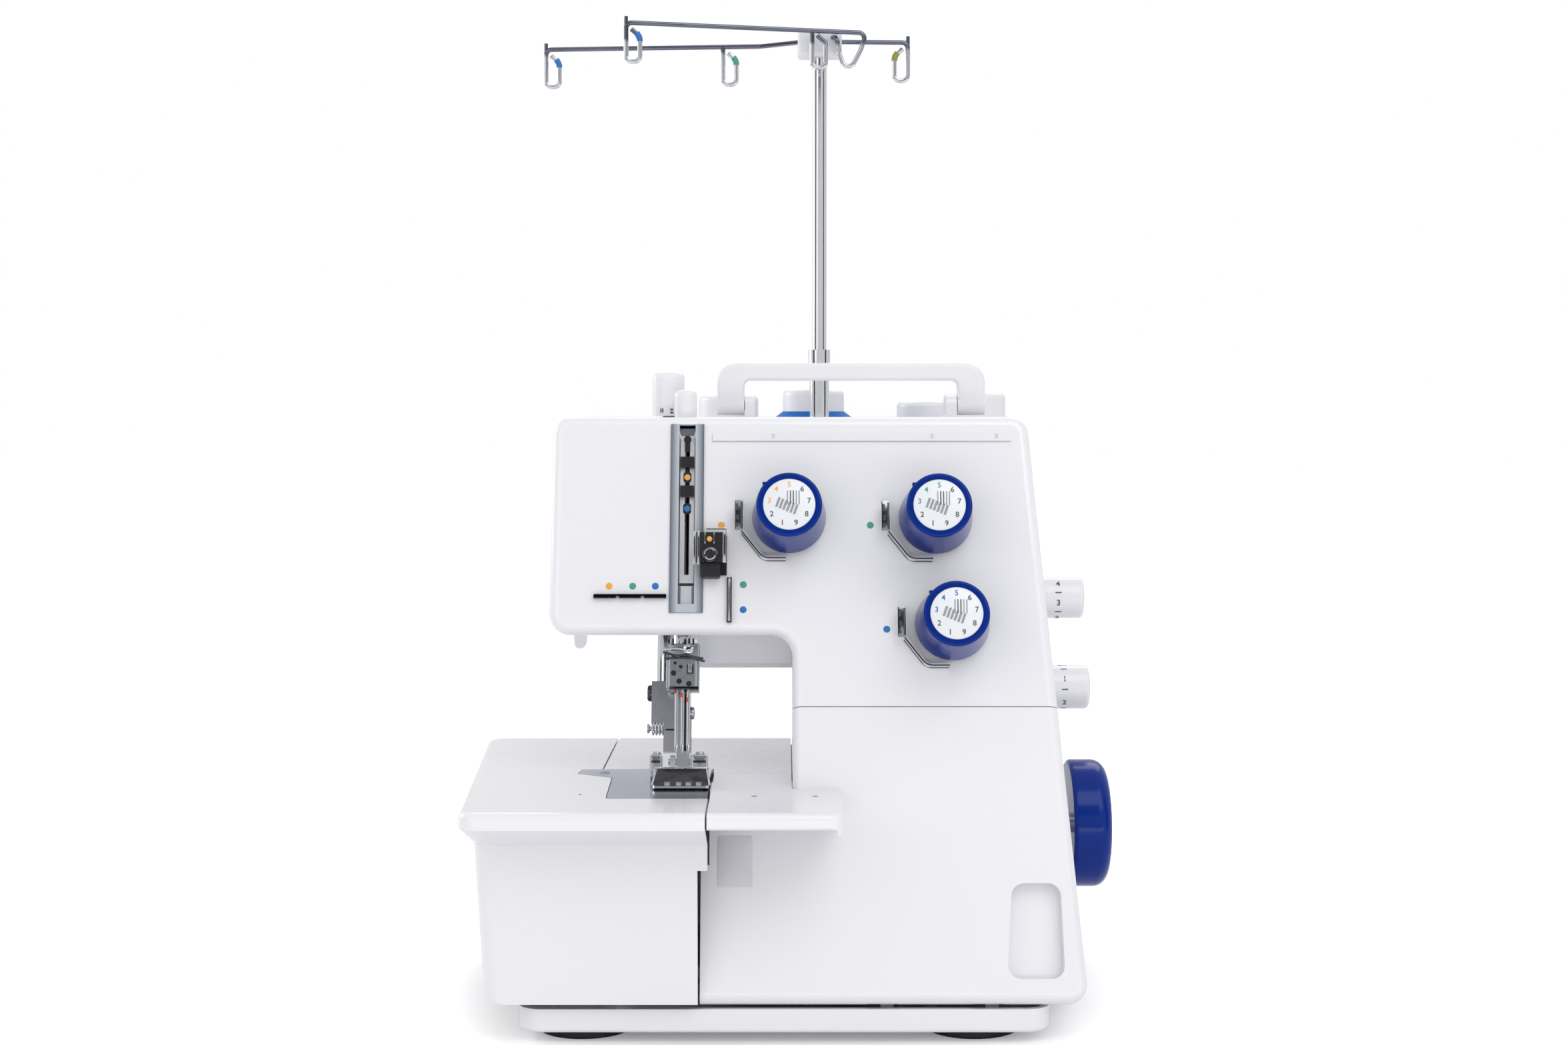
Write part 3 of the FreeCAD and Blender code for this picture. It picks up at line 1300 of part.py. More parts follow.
def make_needle_clamp():
    clamp = box(-CLAMP_HALF, CLAMP_HALF, -CLAMP_DEPTH, CLAMP_DEPTH, CLAMP_LOW, CLAMP_LOW + CLAMP_HEIGHT)
    clamp = soften(clamp, CLAMP_ROUND, lambda point: abs(abs(point.x) - CLAMP_HALF) < TOUCH
                   and abs(point.y + CLAMP_DEPTH) < TOUCH)
    tools = [rod((0, 0, CLAMP_LOW + CLAMP_SEAT), UP, BAR_RADIUS, FAR)]
    for x in needle_places():
        tools.append(rod((x, -NEEDLE_FORWARD, CLAMP_LOW - OVERRUN), UP, NEEDLE_RADIUS, CLAMP_SEAT))
    return placed(cut_all(clamp, tools), NEEDLE)


def make_needles():
    needles = []
    low = NEEDLE_TIP + NEEDLE_POINT
    for x in needle_places():
        shank = rod((x, -NEEDLE_FORWARD, low), UP, NEEDLE_RADIUS, CLAMP_LOW + CLAMP_SEAT - OVERRUN - low)
        point = cone((x, -NEEDLE_FORWARD, NEEDLE_TIP), UP, NEEDLE_POINT_RADIUS, NEEDLE_RADIUS, NEEDLE_POINT)
        needles.append(placed(join([shank, point]), NEEDLE))
    return needles


def make_presser_bar():
    low = HOLDER_LOW + HOLDER_SOCKET
    top = along(HEAD_BOTTOM) + HIGH_BLOCK_RISE + PRESSER_TOP
    return placed(rod((PRESSER_SHIFT, PRESSER_BEHIND, low), UP, PRESSER_RADIUS, top - low), NEEDLE)


def make_foot_holder():
    """Shank that carries the presser foot on a cross pin."""
    grip = PRESSER_RADIUS + HOLDER_WALL
    block = box(PRESSER_SHIFT - grip, HOLDER_BLOCK_RIGHT, HOLDER_FRONT, PRESSER_BEHIND + grip,
                HOLDER_LOW + HOLDER_BLOCK_LOW, HOLDER_LOW + HOLDER_BLOCK_HIGH)
    stem = box(HOLDER_STEM_LEFT, HOLDER_STEM_RIGHT, HOLDER_FRONT, HOLDER_STEM_BACK,
               HOLDER_LOW - HOLDER_WALL, HOLDER_LOW + HOLDER_SOCKET)
    tongue = box(-TONGUE_HALF, TONGUE_HALF, HOLDER_FRONT, HOLDER_STEM_BACK,
                 ANKLE_RISE - ANKLE_RADIUS - ANKLE_WALL, HOLDER_LOW)
    socket = rod((PRESSER_SHIFT, PRESSER_BEHIND, HOLDER_LOW + HOLDER_SOCKET), UP, PRESSER_RADIUS, FAR)
    pin = rod((-ANKLE_HALF, ANKLE_BEHIND, ANKLE_RISE), RIGHT, ANKLE_RADIUS, 2 * ANKLE_HALF)
    return placed(join([join([block, stem, tongue]).cut(socket), pin]), NEEDLE)


def make_presser_foot():
    """Sole with a wedge shaped toe, a needle opening and two ears on the cross pin."""
    toe = NEEDLE_Y + FOOT_TOE
    heel = NEEDLE_Y + FOOT_HEEL
    low = BED_Z + SOLE_GAP
    high = low + TOE_HEIGHT
    left = NEEDLE_X + FOOT_LEFT
    right = NEEDLE_X + FOOT_RIGHT
    sole = side_prism([(toe, low + TOE_TIP, 0), (toe + TOE_LEAD, low, 0), (heel, low, 0),
                       (heel, low + SOLE, 0), (NEEDLE_Y + TOE_BACK, low + SOLE, 0),
                       (NEEDLE_Y + TOE_TOP_BACK, high, 0), (NEEDLE_Y + TOE_TOP_FRONT, high, TOE_LEAD),
                       (toe, low + TOE_TIP + TOE_THICK, 0)], left, right)
    sole = sole.common(plan_prism([(left, toe - OVERRUN, FOOT_CORNER), (right, toe - OVERRUN, FOOT_CORNER),
                                   (right, heel + OVERRUN, HEEL_CORNER), (left, heel + OVERRUN, HEEL_CORNER)],
                                  low - OVERRUN, high + OVERRUN))
    ears = []
    for x in (EAR_LEFT, EAR_RIGHT):
        ears.append(placed(box(x, x + EAR_THICK, HOLDER_FRONT - EAR_SIDE, HOLDER_STEM_BACK + EAR_SIDE,
                               EAR_LOW, ANKLE_RISE + 2 * ANKLE_RADIUS), NEEDLE))
    pin_y = NEEDLE_Y + ANKLE_BEHIND * COS_TILT + ANKLE_RISE * SIN_TILT
    back = heel + 2 * OVERRUN
    heel_low = low + (back - pin_y) * HEEL_RISE
    relief = side_prism([(pin_y, low - SOLE, 0), (pin_y, low, 0), (back, heel_low, 0), (back, low - SOLE, 0)],
                        -FAR, FAR)
    foot = join([sole.cut(relief)] + ears)
    half = NEEDLE_SPACING + FOOT_OPENING
    opening = box(NEEDLE_X - half, NEEDLE_X + half, NEEDLE_Y - 2 * NEEDLE_FORWARD, NEEDLE_Y + NEEDLE_FORWARD,
                  low - SOLE, low + SOLE + OVERRUN)
    pin_hole = rod((FOOT_LEFT, ANKLE_BEHIND, ANKLE_RISE), RIGHT, ANKLE_RADIUS + RUN_CLEAR,
                   FOOT_RIGHT - FOOT_LEFT)
    return cut_all(foot, [opening, placed(pin_hole, NEEDLE)])


def make_presser_lifter():
    """Lever behind the head, on a pin that reaches in to the bars."""
    start = PANEL_Y + LIFTER_PIN_FRONT
    back = CASE_BACK + LIFTER_GAP
    pin = rod((LIFTER_X, start, LIFTER_Z), BACK, LIFTER_PIN, back + LIFTER_THICK - start)
    tip_x = HEAD_LEFT + LIFTER_TIP_IN
    tip_z = HEAD_BOTTOM - LIFTER_TIP_DROP
    arm = front_prism([(LIFTER_X + LIFTER_HALF, LIFTER_Z + LIFTER_HALF, LIFTER_CORNER),
                       (LIFTER_X - LIFTER_HALF, LIFTER_Z + LIFTER_HALF, LIFTER_CORNER),
                       (tip_x + LIFTER_KNEE_LEFT[0], tip_z + LIFTER_KNEE_LEFT[1], LIFTER_KNEE_ROUND),
                       (tip_x - LIFTER_TIP_HALF, tip_z, LIFTER_TIP_ROUND),
                       (tip_x + LIFTER_TIP_HALF, tip_z, LIFTER_TIP_ROUND),
                       (tip_x + LIFTER_KNEE_RIGHT[0], tip_z + LIFTER_KNEE_RIGHT[1], LIFTER_KNEE_ROUND),
                       (LIFTER_X + LIFTER_HALF, LIFTER_Z - LIFTER_ROOT, LIFTER_CORNER)],
                      back, back + LIFTER_THICK)
    return join([pin, arm])


def make_looper():
    """Rocking shaft with the looper's arm and blade in front of the needles."""
    front = NEEDLE_Y - LOOPER_AHEAD
    back = front + LOOPER_THICK
    shaft = rod((LOOPER_X, front, LOOPER_Z), BACK, LOOPER_PIN, FRAME_BACK - TRAY_BACK_INSET - front)
    low = BED_Z - LOOPER_BLADE_DROP
    high = low + LOOPER_BLADE
    arm = box(LOOPER_X - LOOPER_PIN, LOOPER_X + LOOPER_PIN, front, back, LOOPER_Z - LOOPER_PIN, high)
    blade = front_prism([(LOOPER_X, low, 0),
                         (NEEDLE_X + LOOPER_REACH, low + LOOPER_POINT_RISE, LOOPER_POINT_ROUND),
                         (NEEDLE_X + LOOPER_TOP_REACH, high, LOOPER_TOP_ROUND),
                         (LOOPER_X, high, 0)], front, back)
    return join([shaft, arm, blade])


# Details of the head


def make_top_thread_guide():
    """Long rail in the groove along the top of the panel, with three notches."""
    low = rail_low()
    rail = box(RAIL_LEFT, RAIL_RIGHT, -RAIL_PROUD, RAIL_DEPTH, low, low + RAIL_HEIGHT)
    tools = []
    for x in RAIL_NOTCHES:
        tools.append(box(x - RAIL_NOTCH / 2, x + RAIL_NOTCH / 2, -WALL, RAIL_NOTCH_DEPTH,
                         low + RAIL_NOTCH_LOW, low + RAIL_HEIGHT + OVERRUN))
    return placed(cut_all(rail, tools), PANEL)


def make_takeup_frame():
    """Grey lining of the slot, a channel with a slit in its floor."""
    low = along(HEAD_BOTTOM + SLOT_LOW_RISE) + SEAT_GAP
    high = along(CASE_TOP - SLOT_TOP_DROP) - SEAT_GAP
    left = SLOT_LEFT + SEAT_GAP
    right = SLOT_RIGHT - SEAT_GAP
    middle = (SLOT_LEFT + SLOT_RIGHT) / 2
    outer = box(left, right, -SLOT_LIP, SLOT_DEPTH, low, high)
    channel = box(left + SLOT_WALL, right - SLOT_WALL, -2 * SLOT_LIP, SLOT_DEPTH - SLOT_FLOOR,
                  low + SLOT_SHELF, high + OVERRUN)
    slit = box(middle - SLIT_HALF, middle + SLIT_HALF, 0, SLOT_DEPTH + OVERRUN,
               low + SLIT_INSET, high - SLIT_INSET)
    return placed(cut_all(outer, [channel, slit]), PANEL)


def make_takeup_lever():
    middle = (SLOT_LEFT + SLOT_RIGHT) / 2
    low = along(HEAD_BOTTOM + TAKEUP_LOW_RISE)
    high = low + TAKEUP_LENGTH
    back = TAKEUP_FRONT + TAKEUP_THICK
    plate = box(middle - TAKEUP_HALF, middle + TAKEUP_HALF, TAKEUP_FRONT, back, low, high)
    window = box(middle - TAKEUP_WINDOW, middle + TAKEUP_WINDOW, 0, SLOT_DEPTH,
                 low + TAKEUP_ENDS[0], high - TAKEUP_ENDS[1])
    return placed(plate.cut(window), PANEL)


def make_takeup_clips():
    middle = (SLOT_LEFT + SLOT_RIGHT) / 2
    low = along(HEAD_BOTTOM + TAKEUP_LOW_RISE)
    return [placed(box(middle - CLIP_HALF, middle + CLIP_HALF, TAKEUP_FRONT - CLIP_PROUD, TAKEUP_FRONT,
                       low + rise, low + rise + CLIP_HEIGHT), PANEL) for rise in CLIP_PLACES]


def make_pretension_bracket():
    """Folded plate on a foot, beside the take-up slot, with a wing over the slot's edge."""
    low = along(HEAD_BOTTOM + BRACKET_RISE)
    right = BRACKET_LEFT + BRACKET_WIDTH
    front = -BRACKET_STANDOFF
    foot = box(BRACKET_LEFT, right, -BRACKET_THICK, 0, low, low + BRACKET_HEIGHT)
    post = rod((BRACKET_LEFT + BRACKET_WIDTH / 2, front, low + BRACKET_HEIGHT / 2), BACK, BRACKET_POST,
               BRACKET_STANDOFF - BRACKET_THICK)
    plate = box(BRACKET_LEFT - BRACKET_WING, right, front - BRACKET_THICK, front,
                low + BRACKET_WING, low + BRACKET_HEIGHT)
    return placed(join([foot, post, plate]), PANEL)


def make_face_thread_guides():
    """Slotted strip over the needles and a short upright strip to its right."""
    middle = along(HEAD_BOTTOM + STRIP_RISE)
    strip = box(STRIP_LEFT, STRIP_RIGHT, -STRIP_PROUD, 0, middle - STRIP_HALF, middle + STRIP_HALF)
    for x in STRIP_NOTCHES:
        strip = strip.cut(box(x - STRIP_NOTCH / 2, x + STRIP_NOTCH / 2, -FAR, FAR, middle - FAR, middle))
    low = along(HEAD_BOTTOM + UPRIGHT_LOW)
    high = along(HEAD_BOTTOM + UPRIGHT_HIGH)
    upright = box(UPRIGHT_LEFT, UPRIGHT_LEFT + UPRIGHT_WIDTH, -STRIP_PROUD, 0, low, high)
    groove_left = UPRIGHT_LEFT + (UPRIGHT_WIDTH - UPRIGHT_GROOVE) / 2
    groove = box(groove_left, groove_left + UPRIGHT_GROOVE, -FAR, -UPRIGHT_GROOVE, low + STRIP_HALF, FAR)
    return [placed(strip, PANEL), placed(upright.cut(groove), PANEL)]


def make_needle_bar_cap():
    y = needle_y(CASE_TOP)
    cap = rod((NEEDLE_X, y, CASE_TOP), UP, CAP_RADIUS, CAP_HEIGHT)
    cap = soften(cap, CAP_ROUND, lambda point: point.z > CASE_TOP + CAP_HEIGHT - TOUCH)
    return cap.cut(rod((NEEDLE_X, y, CASE_TOP - OVERRUN), UP, CAP_RADIUS - CAP_WALL, CAP_HEIGHT - CAP_WALL))


def make_pressure_dial():
    low = CASE_TOP + PRESSURE_GAP
    top = CASE_TOP + PRESSURE_HEIGHT
    knob = rod((PRESSER_X, PRESSER_TOP_Y, low), UP, PRESSURE_RADIUS, top - low)
    knob = soften(knob, PRESSURE_ROUND, lambda point: point.z > top - TOUCH)
    stem = rod((PRESSER_X, PRESSER_TOP_Y, CASE_TOP - PRESSURE_STEM_LENGTH), UP, PRESSURE_STEM,
               PRESSURE_STEM_LENGTH + 2 * PRESSURE_GAP)
    return join([knob, stem])


def lamp_box(below, above):
    return box(LAMP_X - LAMP_HALF, LAMP_X + LAMP_HALF, LAMP_Y - LAMP_DEPTH, LAMP_Y + LAMP_DEPTH,
               HEAD_BOTTOM - below, HEAD_BOTTOM + WALL + above)


def make_lamp():
    return lamp_box(LAMP_PROUD, 0)


# Tension dials


def make_tension_dial(name):
    across, up = dial_spot(name)
    front = -DIAL_GAP - DIAL_LENGTH
    start = OVERRUN - DIAL_GAP
    body = cone((across, -DIAL_GAP, up), FRONT, DIAL_BASE, DIAL_FACE, DIAL_LENGTH)
    body = soften(body, DIAL_ROUND, lambda point: point.y < front + TOUCH)
    bore = rod((across, start, up), FRONT, STUD_RADIUS + RUN_CLEAR, STUD_REACH + WALL)
    recess = rod((across, front - OVERRUN, up), BACK, DIAL_RECESS, OVERRUN + DIAL_RECESS_DEPTH)
    return placed(cut_all(body, [bore, recess]), PANEL)


def make_tension_studs():
    studs = []
    for name in DIALS:
        across, up = dial_spot(name)
        back = WALL + STUD_FLANGE_THICK
        stud = rod((across, back, up), FRONT, STUD_RADIUS, back + DIAL_GAP + STUD_REACH)
        flange = rod((across, WALL, up), BACK, STUD_FLANGE, STUD_FLANGE_THICK)
        studs.append(placed(join([stud, flange]), PANEL))
    return studs


def make_tension_discs():
    discs = []
    for name in DIALS:
        across, up = dial_spot(name)
        for start in DISC_STARTS:
            disc = ring((across, start, up), FRONT, DISC_RADIUS, STUD_RADIUS, DISC_THICK)
            discs.append(placed(disc, PANEL))
    return discs


def make_dial_thread_guides():
    """Bent strip under each dial with a hook plate at its upper end."""
    run = GUARD_LEFT - GUARD_KNEE
    fall = GUARD_DROP + HOOK_LOW
    slant = math.hypot(run, fall)
    inner_start = GUARD_LEFT - GUARD_THICK * slant / fall
    inner_knee = GUARD_KNEE - GUARD_THICK * (slant - run) / fall
    guards = []
    for name in DIALS:
        across, up = dial_spot(name)
        low = up - GUARD_DROP
        strip = front_prism([(across - GUARD_LEFT, up + HOOK_LOW, 0),
                             (across - GUARD_KNEE, low, GUARD_BEND + GUARD_THICK),
                             (across - GUARD_TAIL, low, 0), (across - GUARD_TAIL, low + GUARD_THICK, 0),
                             (across - inner_knee, low + GUARD_THICK, GUARD_BEND),
                             (across - inner_start, up + HOOK_LOW, 0)], -GUARD_DEPTH, 0)
        left = across - GUARD_LEFT
        plate = box(left - HOOK_WIDTH, left + GUARD_THICK, -GUARD_DEPTH, GUARD_THICK - GUARD_DEPTH,
                    up + HOOK_LOW, up + HOOK_HIGH)
        stand = box(left, left + GUARD_THICK, -GUARD_DEPTH, 0, up + HOOK_LOW, up + HOOK_HIGH)
        guards.append(placed(join([strip, stand, plate]), PANEL))
    return guards


# Side controls, handle and services


def side_knob(z, radius, right):
    left = right_x(z - radius) + KNOB_GAP
    knob = rod((left, KNOB_Y, z), RIGHT, radius, right - left)
    knob = soften(knob, KNOB_ROUND, lambda point: point.x > right - TOUCH)
    stem = rod((left - KNOB_STEM, KNOB_Y, z), RIGHT, KNOB_STEM_RADIUS, KNOB_STEM + 2 * OVERRUN)
    return join([knob, stem])


def make_carry_handle():
    top = CASE_TOP + HANDLE_RISE
    reach = HANDLE_DEPTH / 2
    inner_left = HANDLE_LEFT + HANDLE_LEG
    inner_right = HANDLE_RIGHT - HANDLE_LEG
    under = top - HANDLE_BAR
    bar = front_prism([(HANDLE_LEFT, HANDLE_PIVOT_Z, 0), (HANDLE_LEFT, top, HANDLE_CORNER),
                       (HANDLE_RIGHT, top, HANDLE_CORNER), (HANDLE_RIGHT, HANDLE_PIVOT_Z, 0),
                       (inner_right, HANDLE_PIVOT_Z, 0), (inner_right, under, HANDLE_INNER_CORNER),
                       (inner_left, under, HANDLE_INNER_CORNER), (inner_left, HANDLE_PIVOT_Z, 0)],
                      HANDLE_Y - reach, HANDLE_Y + reach)
    rims = []
    for edge in bar.Edges:
        flat = edge.BoundBox.YLength < TOUCH
        at_foot = all(vertex.Point.z < HANDLE_PIVOT_Z + TOUCH for vertex in edge.Vertexes)
        if flat and not at_foot:
            rims.append(edge)
    pieces = [bar.makeFillet(HANDLE_ROUND, rims)]
    for x in (HANDLE_LEFT, inner_right):
        pieces.append(rod((x, HANDLE_Y, HANDLE_PIVOT_Z), RIGHT, reach, HANDLE_LEG))
    for x in (inner_left - OVERRUN, inner_right - HANDLE_PIN_LENGTH):
        pieces.append(rod((x, HANDLE_Y, HANDLE_PIVOT_Z), RIGHT, HANDLE_PIN, HANDLE_PIN_LENGTH + OVERRUN))
    return join(pieces)


def make_power_inlet():
    right = INLET_X + INLET_WIDTH
    high = INLET_Z + INLET_HEIGHT
    body = box(INLET_X + SEAT_GAP, right - SEAT_GAP, CASE_BACK - INLET_DEPTH, CASE_BACK + INLET_PROUD,
               INLET_Z + SEAT_GAP, high - SEAT_GAP)
    socket = box(INLET_X + INLET_WALL, right - INLET_WALL, CASE_BACK + INLET_FLOOR - INLET_DEPTH, FAR,
                 INLET_Z + INLET_WALL, high - INLET_WALL)
    return body.cut(socket)


def make_power_switch():
    """Rocker on a pin across its opening, tipped by a few degrees about X."""
    middle = INLET_Z + INLET_HEIGHT / 2
    back = CASE_BACK - ROCKER_BACK
    proud = CASE_BACK + ROCKER_PROUD
    rocker = side_prism([(back, middle - ROCKER_FOOT, ROCKER_ROUND),
                         (proud, middle - ROCKER_HALF, ROCKER_ROUND),
                         (CASE_BACK + ROCKER_DIP, middle, 0),
                         (proud, middle + ROCKER_HALF, ROCKER_ROUND),
                         (back, middle + ROCKER_FOOT, ROCKER_ROUND)],
                        SWITCH_X + SWITCH_GAP, SWITCH_X + SWITCH_WIDTH - SWITCH_GAP)
    rocker.rotate(Vec(0, CASE_BACK - SWITCH_PIVOT, middle), RIGHT, -SWITCH_TIP)
    return join([rocker, switch_pin(SWITCH_PIN_REACH, SWITCH_PIN)])


# Thread stand


def make_spool_stand():
    back = STAND_FRONT + STAND_DEPTH
    plate = plan_prism([(STAND_LEFT, STAND_FRONT, STAND_FRONT_CORNER),
                        (STAND_RIGHT, STAND_FRONT, STAND_FRONT_CORNER),
                        (STAND_RIGHT, back, STAND_BACK_CORNER),
                        (STAND_LEFT, back, STAND_BACK_CORNER)], STAND_Z - STAND_THICK, STAND_Z)
    plate = soften(plate, STAND_ROUND, lambda point: abs(point.z - STAND_Z) < TOUCH)
    neck_left = TOWER_LEFT + STAND_NECK_INSET
    neck_right = STAND_RIGHT - STAND_NECK_RIGHT
    neck_top = STAND_Z - STAND_STEP
    neck = box(neck_left, neck_right, CASE_BACK, STAND_FRONT + STAND_FLANGE, STAND_Z - STAND_THICK, neck_top)
    flange_low = STAND_Z - STAND_FLANGE_DROP
    flange = box(neck_left, neck_right, CASE_BACK, CASE_BACK + STAND_FLANGE, flange_low, neck_top)
    boss = rod((POLE_X, POLE_Y, neck_top), UP, POLE_LOWER + POLE_BOSS, POLE_BOSS_HEIGHT + STAND_STEP)
    return join([plate, neck, flange, boss]).cut(rod((POLE_X, POLE_Y, STAND_Z), UP, POLE_LOWER, FAR))


def make_lower_pole():
    tube = rod((POLE_X, POLE_Y, STAND_Z), UP, POLE_LOWER, POLE_JOINT - STAND_Z)
    collar = rod((POLE_X, POLE_Y, POLE_JOINT - COLLAR_HEIGHT), UP, POLE_LOWER + COLLAR_PROUD, COLLAR_HEIGHT)
    bore = rod((POLE_X, POLE_Y, STAND_Z + POLE_FLOOR), UP, POLE_UPPER + RUN_CLEAR, FAR)
    return join([tube, collar]).cut(bore)


def make_upper_pole():
    low = POLE_JOINT - POLE_OVERLAP
    return rod((POLE_X, POLE_Y, low), UP, POLE_UPPER, HUB_LOW + HUB_SOCKET - RUN_CLEAR - low)


def make_antenna_hub():
    hub = box(POLE_X - HUB_HALF, POLE_X + HUB_HALF, POLE_Y - HUB_DEPTH, POLE_Y + HUB_DEPTH,
              HUB_LOW, HUB_LOW + HUB_HEIGHT)
    hub = soften(hub, HUB_ROUND, lambda point: True)
    return hub.cut(rod((POLE_X, POLE_Y, HUB_LOW - OVERRUN), UP, POLE_UPPER + RUN_CLEAR, HUB_SOCKET + OVERRUN))


def eye(place, z, lean):
    """Points of a hanging loop that ends close to the arm it hangs from."""
    x = POLE_X + place[0]
    y = POLE_Y + place[1]
    far = x + lean * EYE_WIDTH
    return [(x, y, z), (x, y, z - EYE_DROP), (far, y, z - EYE_DROP), (far, y, z - EYE_SHOULDER),
            (x + lean * (2 * WIRE_RADIUS + EYE_GAP), y, z - EYE_END)]


def eye_tab(place, z):
    """Short end of the loop that stands up over the arm."""
    x = POLE_X + place[0]
    y = POLE_Y + place[1]
    return [(x, y, z - 2 * WIRE_BEND), (x, y, z + EYE_TAB)]


def make_antenna_wires(hub):
    """Rear arms to both sides, and a front arm that dips in a V before it runs to the left."""
    rear_z = HUB_LOW + REAR_ARM_RISE
    front_z = HUB_LOW + FRONT_ARM_RISE
    seat = HUB_HALF - WIRE_SEAT
    rear_left = [(POLE_X - seat, POLE_Y, rear_z),
                 (POLE_X + REAR_LEFT_BEND[0], POLE_Y + REAR_LEFT_BEND[1], rear_z)]
    rear_left += eye(REAR_LEFT_EYE, rear_z, 1)
    rear_right = [(POLE_X + seat, POLE_Y, rear_z)]
    rear_right += eye(REAR_RIGHT_EYE, rear_z, -1)
    front = [(POLE_X + DIP_ROOT, POLE_Y - HUB_DEPTH + WIRE_SEAT, HUB_LOW + DIP[0][1])]
    front += [(POLE_X + across, POLE_Y + FRONT_ARM_Y, HUB_LOW + rise) for across, rise in DIP]
    front += eye(FRONT_LEFT_EYE, front_z, 1)
    middle_z = HUB_LOW + MIDDLE_EYE_RISE
    arms = [
        (rear_left, eye_tab(REAR_LEFT_EYE, rear_z), eye(REAR_MIDDLE_EYE, rear_z, 1)),
        (rear_right, eye_tab(REAR_RIGHT_EYE, rear_z), None),
        (front, eye_tab(FRONT_LEFT_EYE, front_z), eye(FRONT_MIDDLE_EYE, middle_z, 1)),
    ]
    wires = []
    for arm, tab, hanging in arms:
        wire = bent_wire(arm, WIRE_RADIUS, WIRE_BEND).fuse(bent_wire(tab, TAB_RADIUS, WIRE_BEND))
        if hanging:
            wire = wire.fuse(bent_wire(hanging, WIRE_RADIUS, WIRE_BEND))
        wires.append(wire.cut(hub))
    return wires


def spool_places():
    return [(x, CASE_BACK + behind, top) for (x, behind), top in zip(SPOOLS, CONE_TOPS)]


def make_spool_pins():
    pins = []
    for x, y, top in spool_places():
        flange = rod((x, y, STAND_Z), UP, CONE_FOOT - SPOOL_FLANGE, SPOOL_FLANGE)
        pin = rod((x, y, STAND_Z), UP, SPOOL_PIN, top - STAND_Z - SPOOL_PIN_DROP)
        pins.append(join([flange, pin]))
    return pins


def cone_body(x, y, top):
    low = STAND_Z + SPOOL_FLANGE
    high = top - CONE_TIP_HEIGHT
    return cone((x, y, low), UP, CONE_FOOT - CONE_BASE_INSET, CONE_TIP - CONE_NECK, high - low)


def make_cone_cores():
    cores = []
    for x, y, top in spool_places():
        tip = rod((x, y, top - CONE_TIP_HEIGHT), UP, CONE_TIP, CONE_TIP_HEIGHT)
        tip = soften(tip, CONE_TIP_ROUND, lambda point: point.z > top - TOUCH)
        bore_top = top - SPOOL_PIN_DROP + CONE_TIP_ROUND
        bore = rod((x, y, STAND_Z), UP, SPOOL_PIN + RUN_CLEAR, bore_top - STAND_Z)
        cores.append(join([cone_body(x, y, top), tip]).cut(bore))
    return cores


def thread_winding(x, y, top):
    low = STAND_Z + THREAD_LOW
    high = top - CONE_TIP_HEIGHT
    shoulder = CONE_TIP + THREAD_SHOULDER
    outer = cone((x, y, low), UP, CONE_FOOT + THREAD_FOOT, shoulder, high - THREAD_SLOPE - low)
    slope = cone((x, y, high - THREAD_SLOPE), UP, shoulder, CONE_TIP, THREAD_SLOPE)
    return join([outer, slope]).cut(cone_body(x, y, top))


def make_blue_thread():
    return thread_winding(*spool_places()[BLUE_CONE])


def make_white_thread():
    return [thread_winding(*place) for index, place in enumerate(spool_places()) if index != BLUE_CONE]


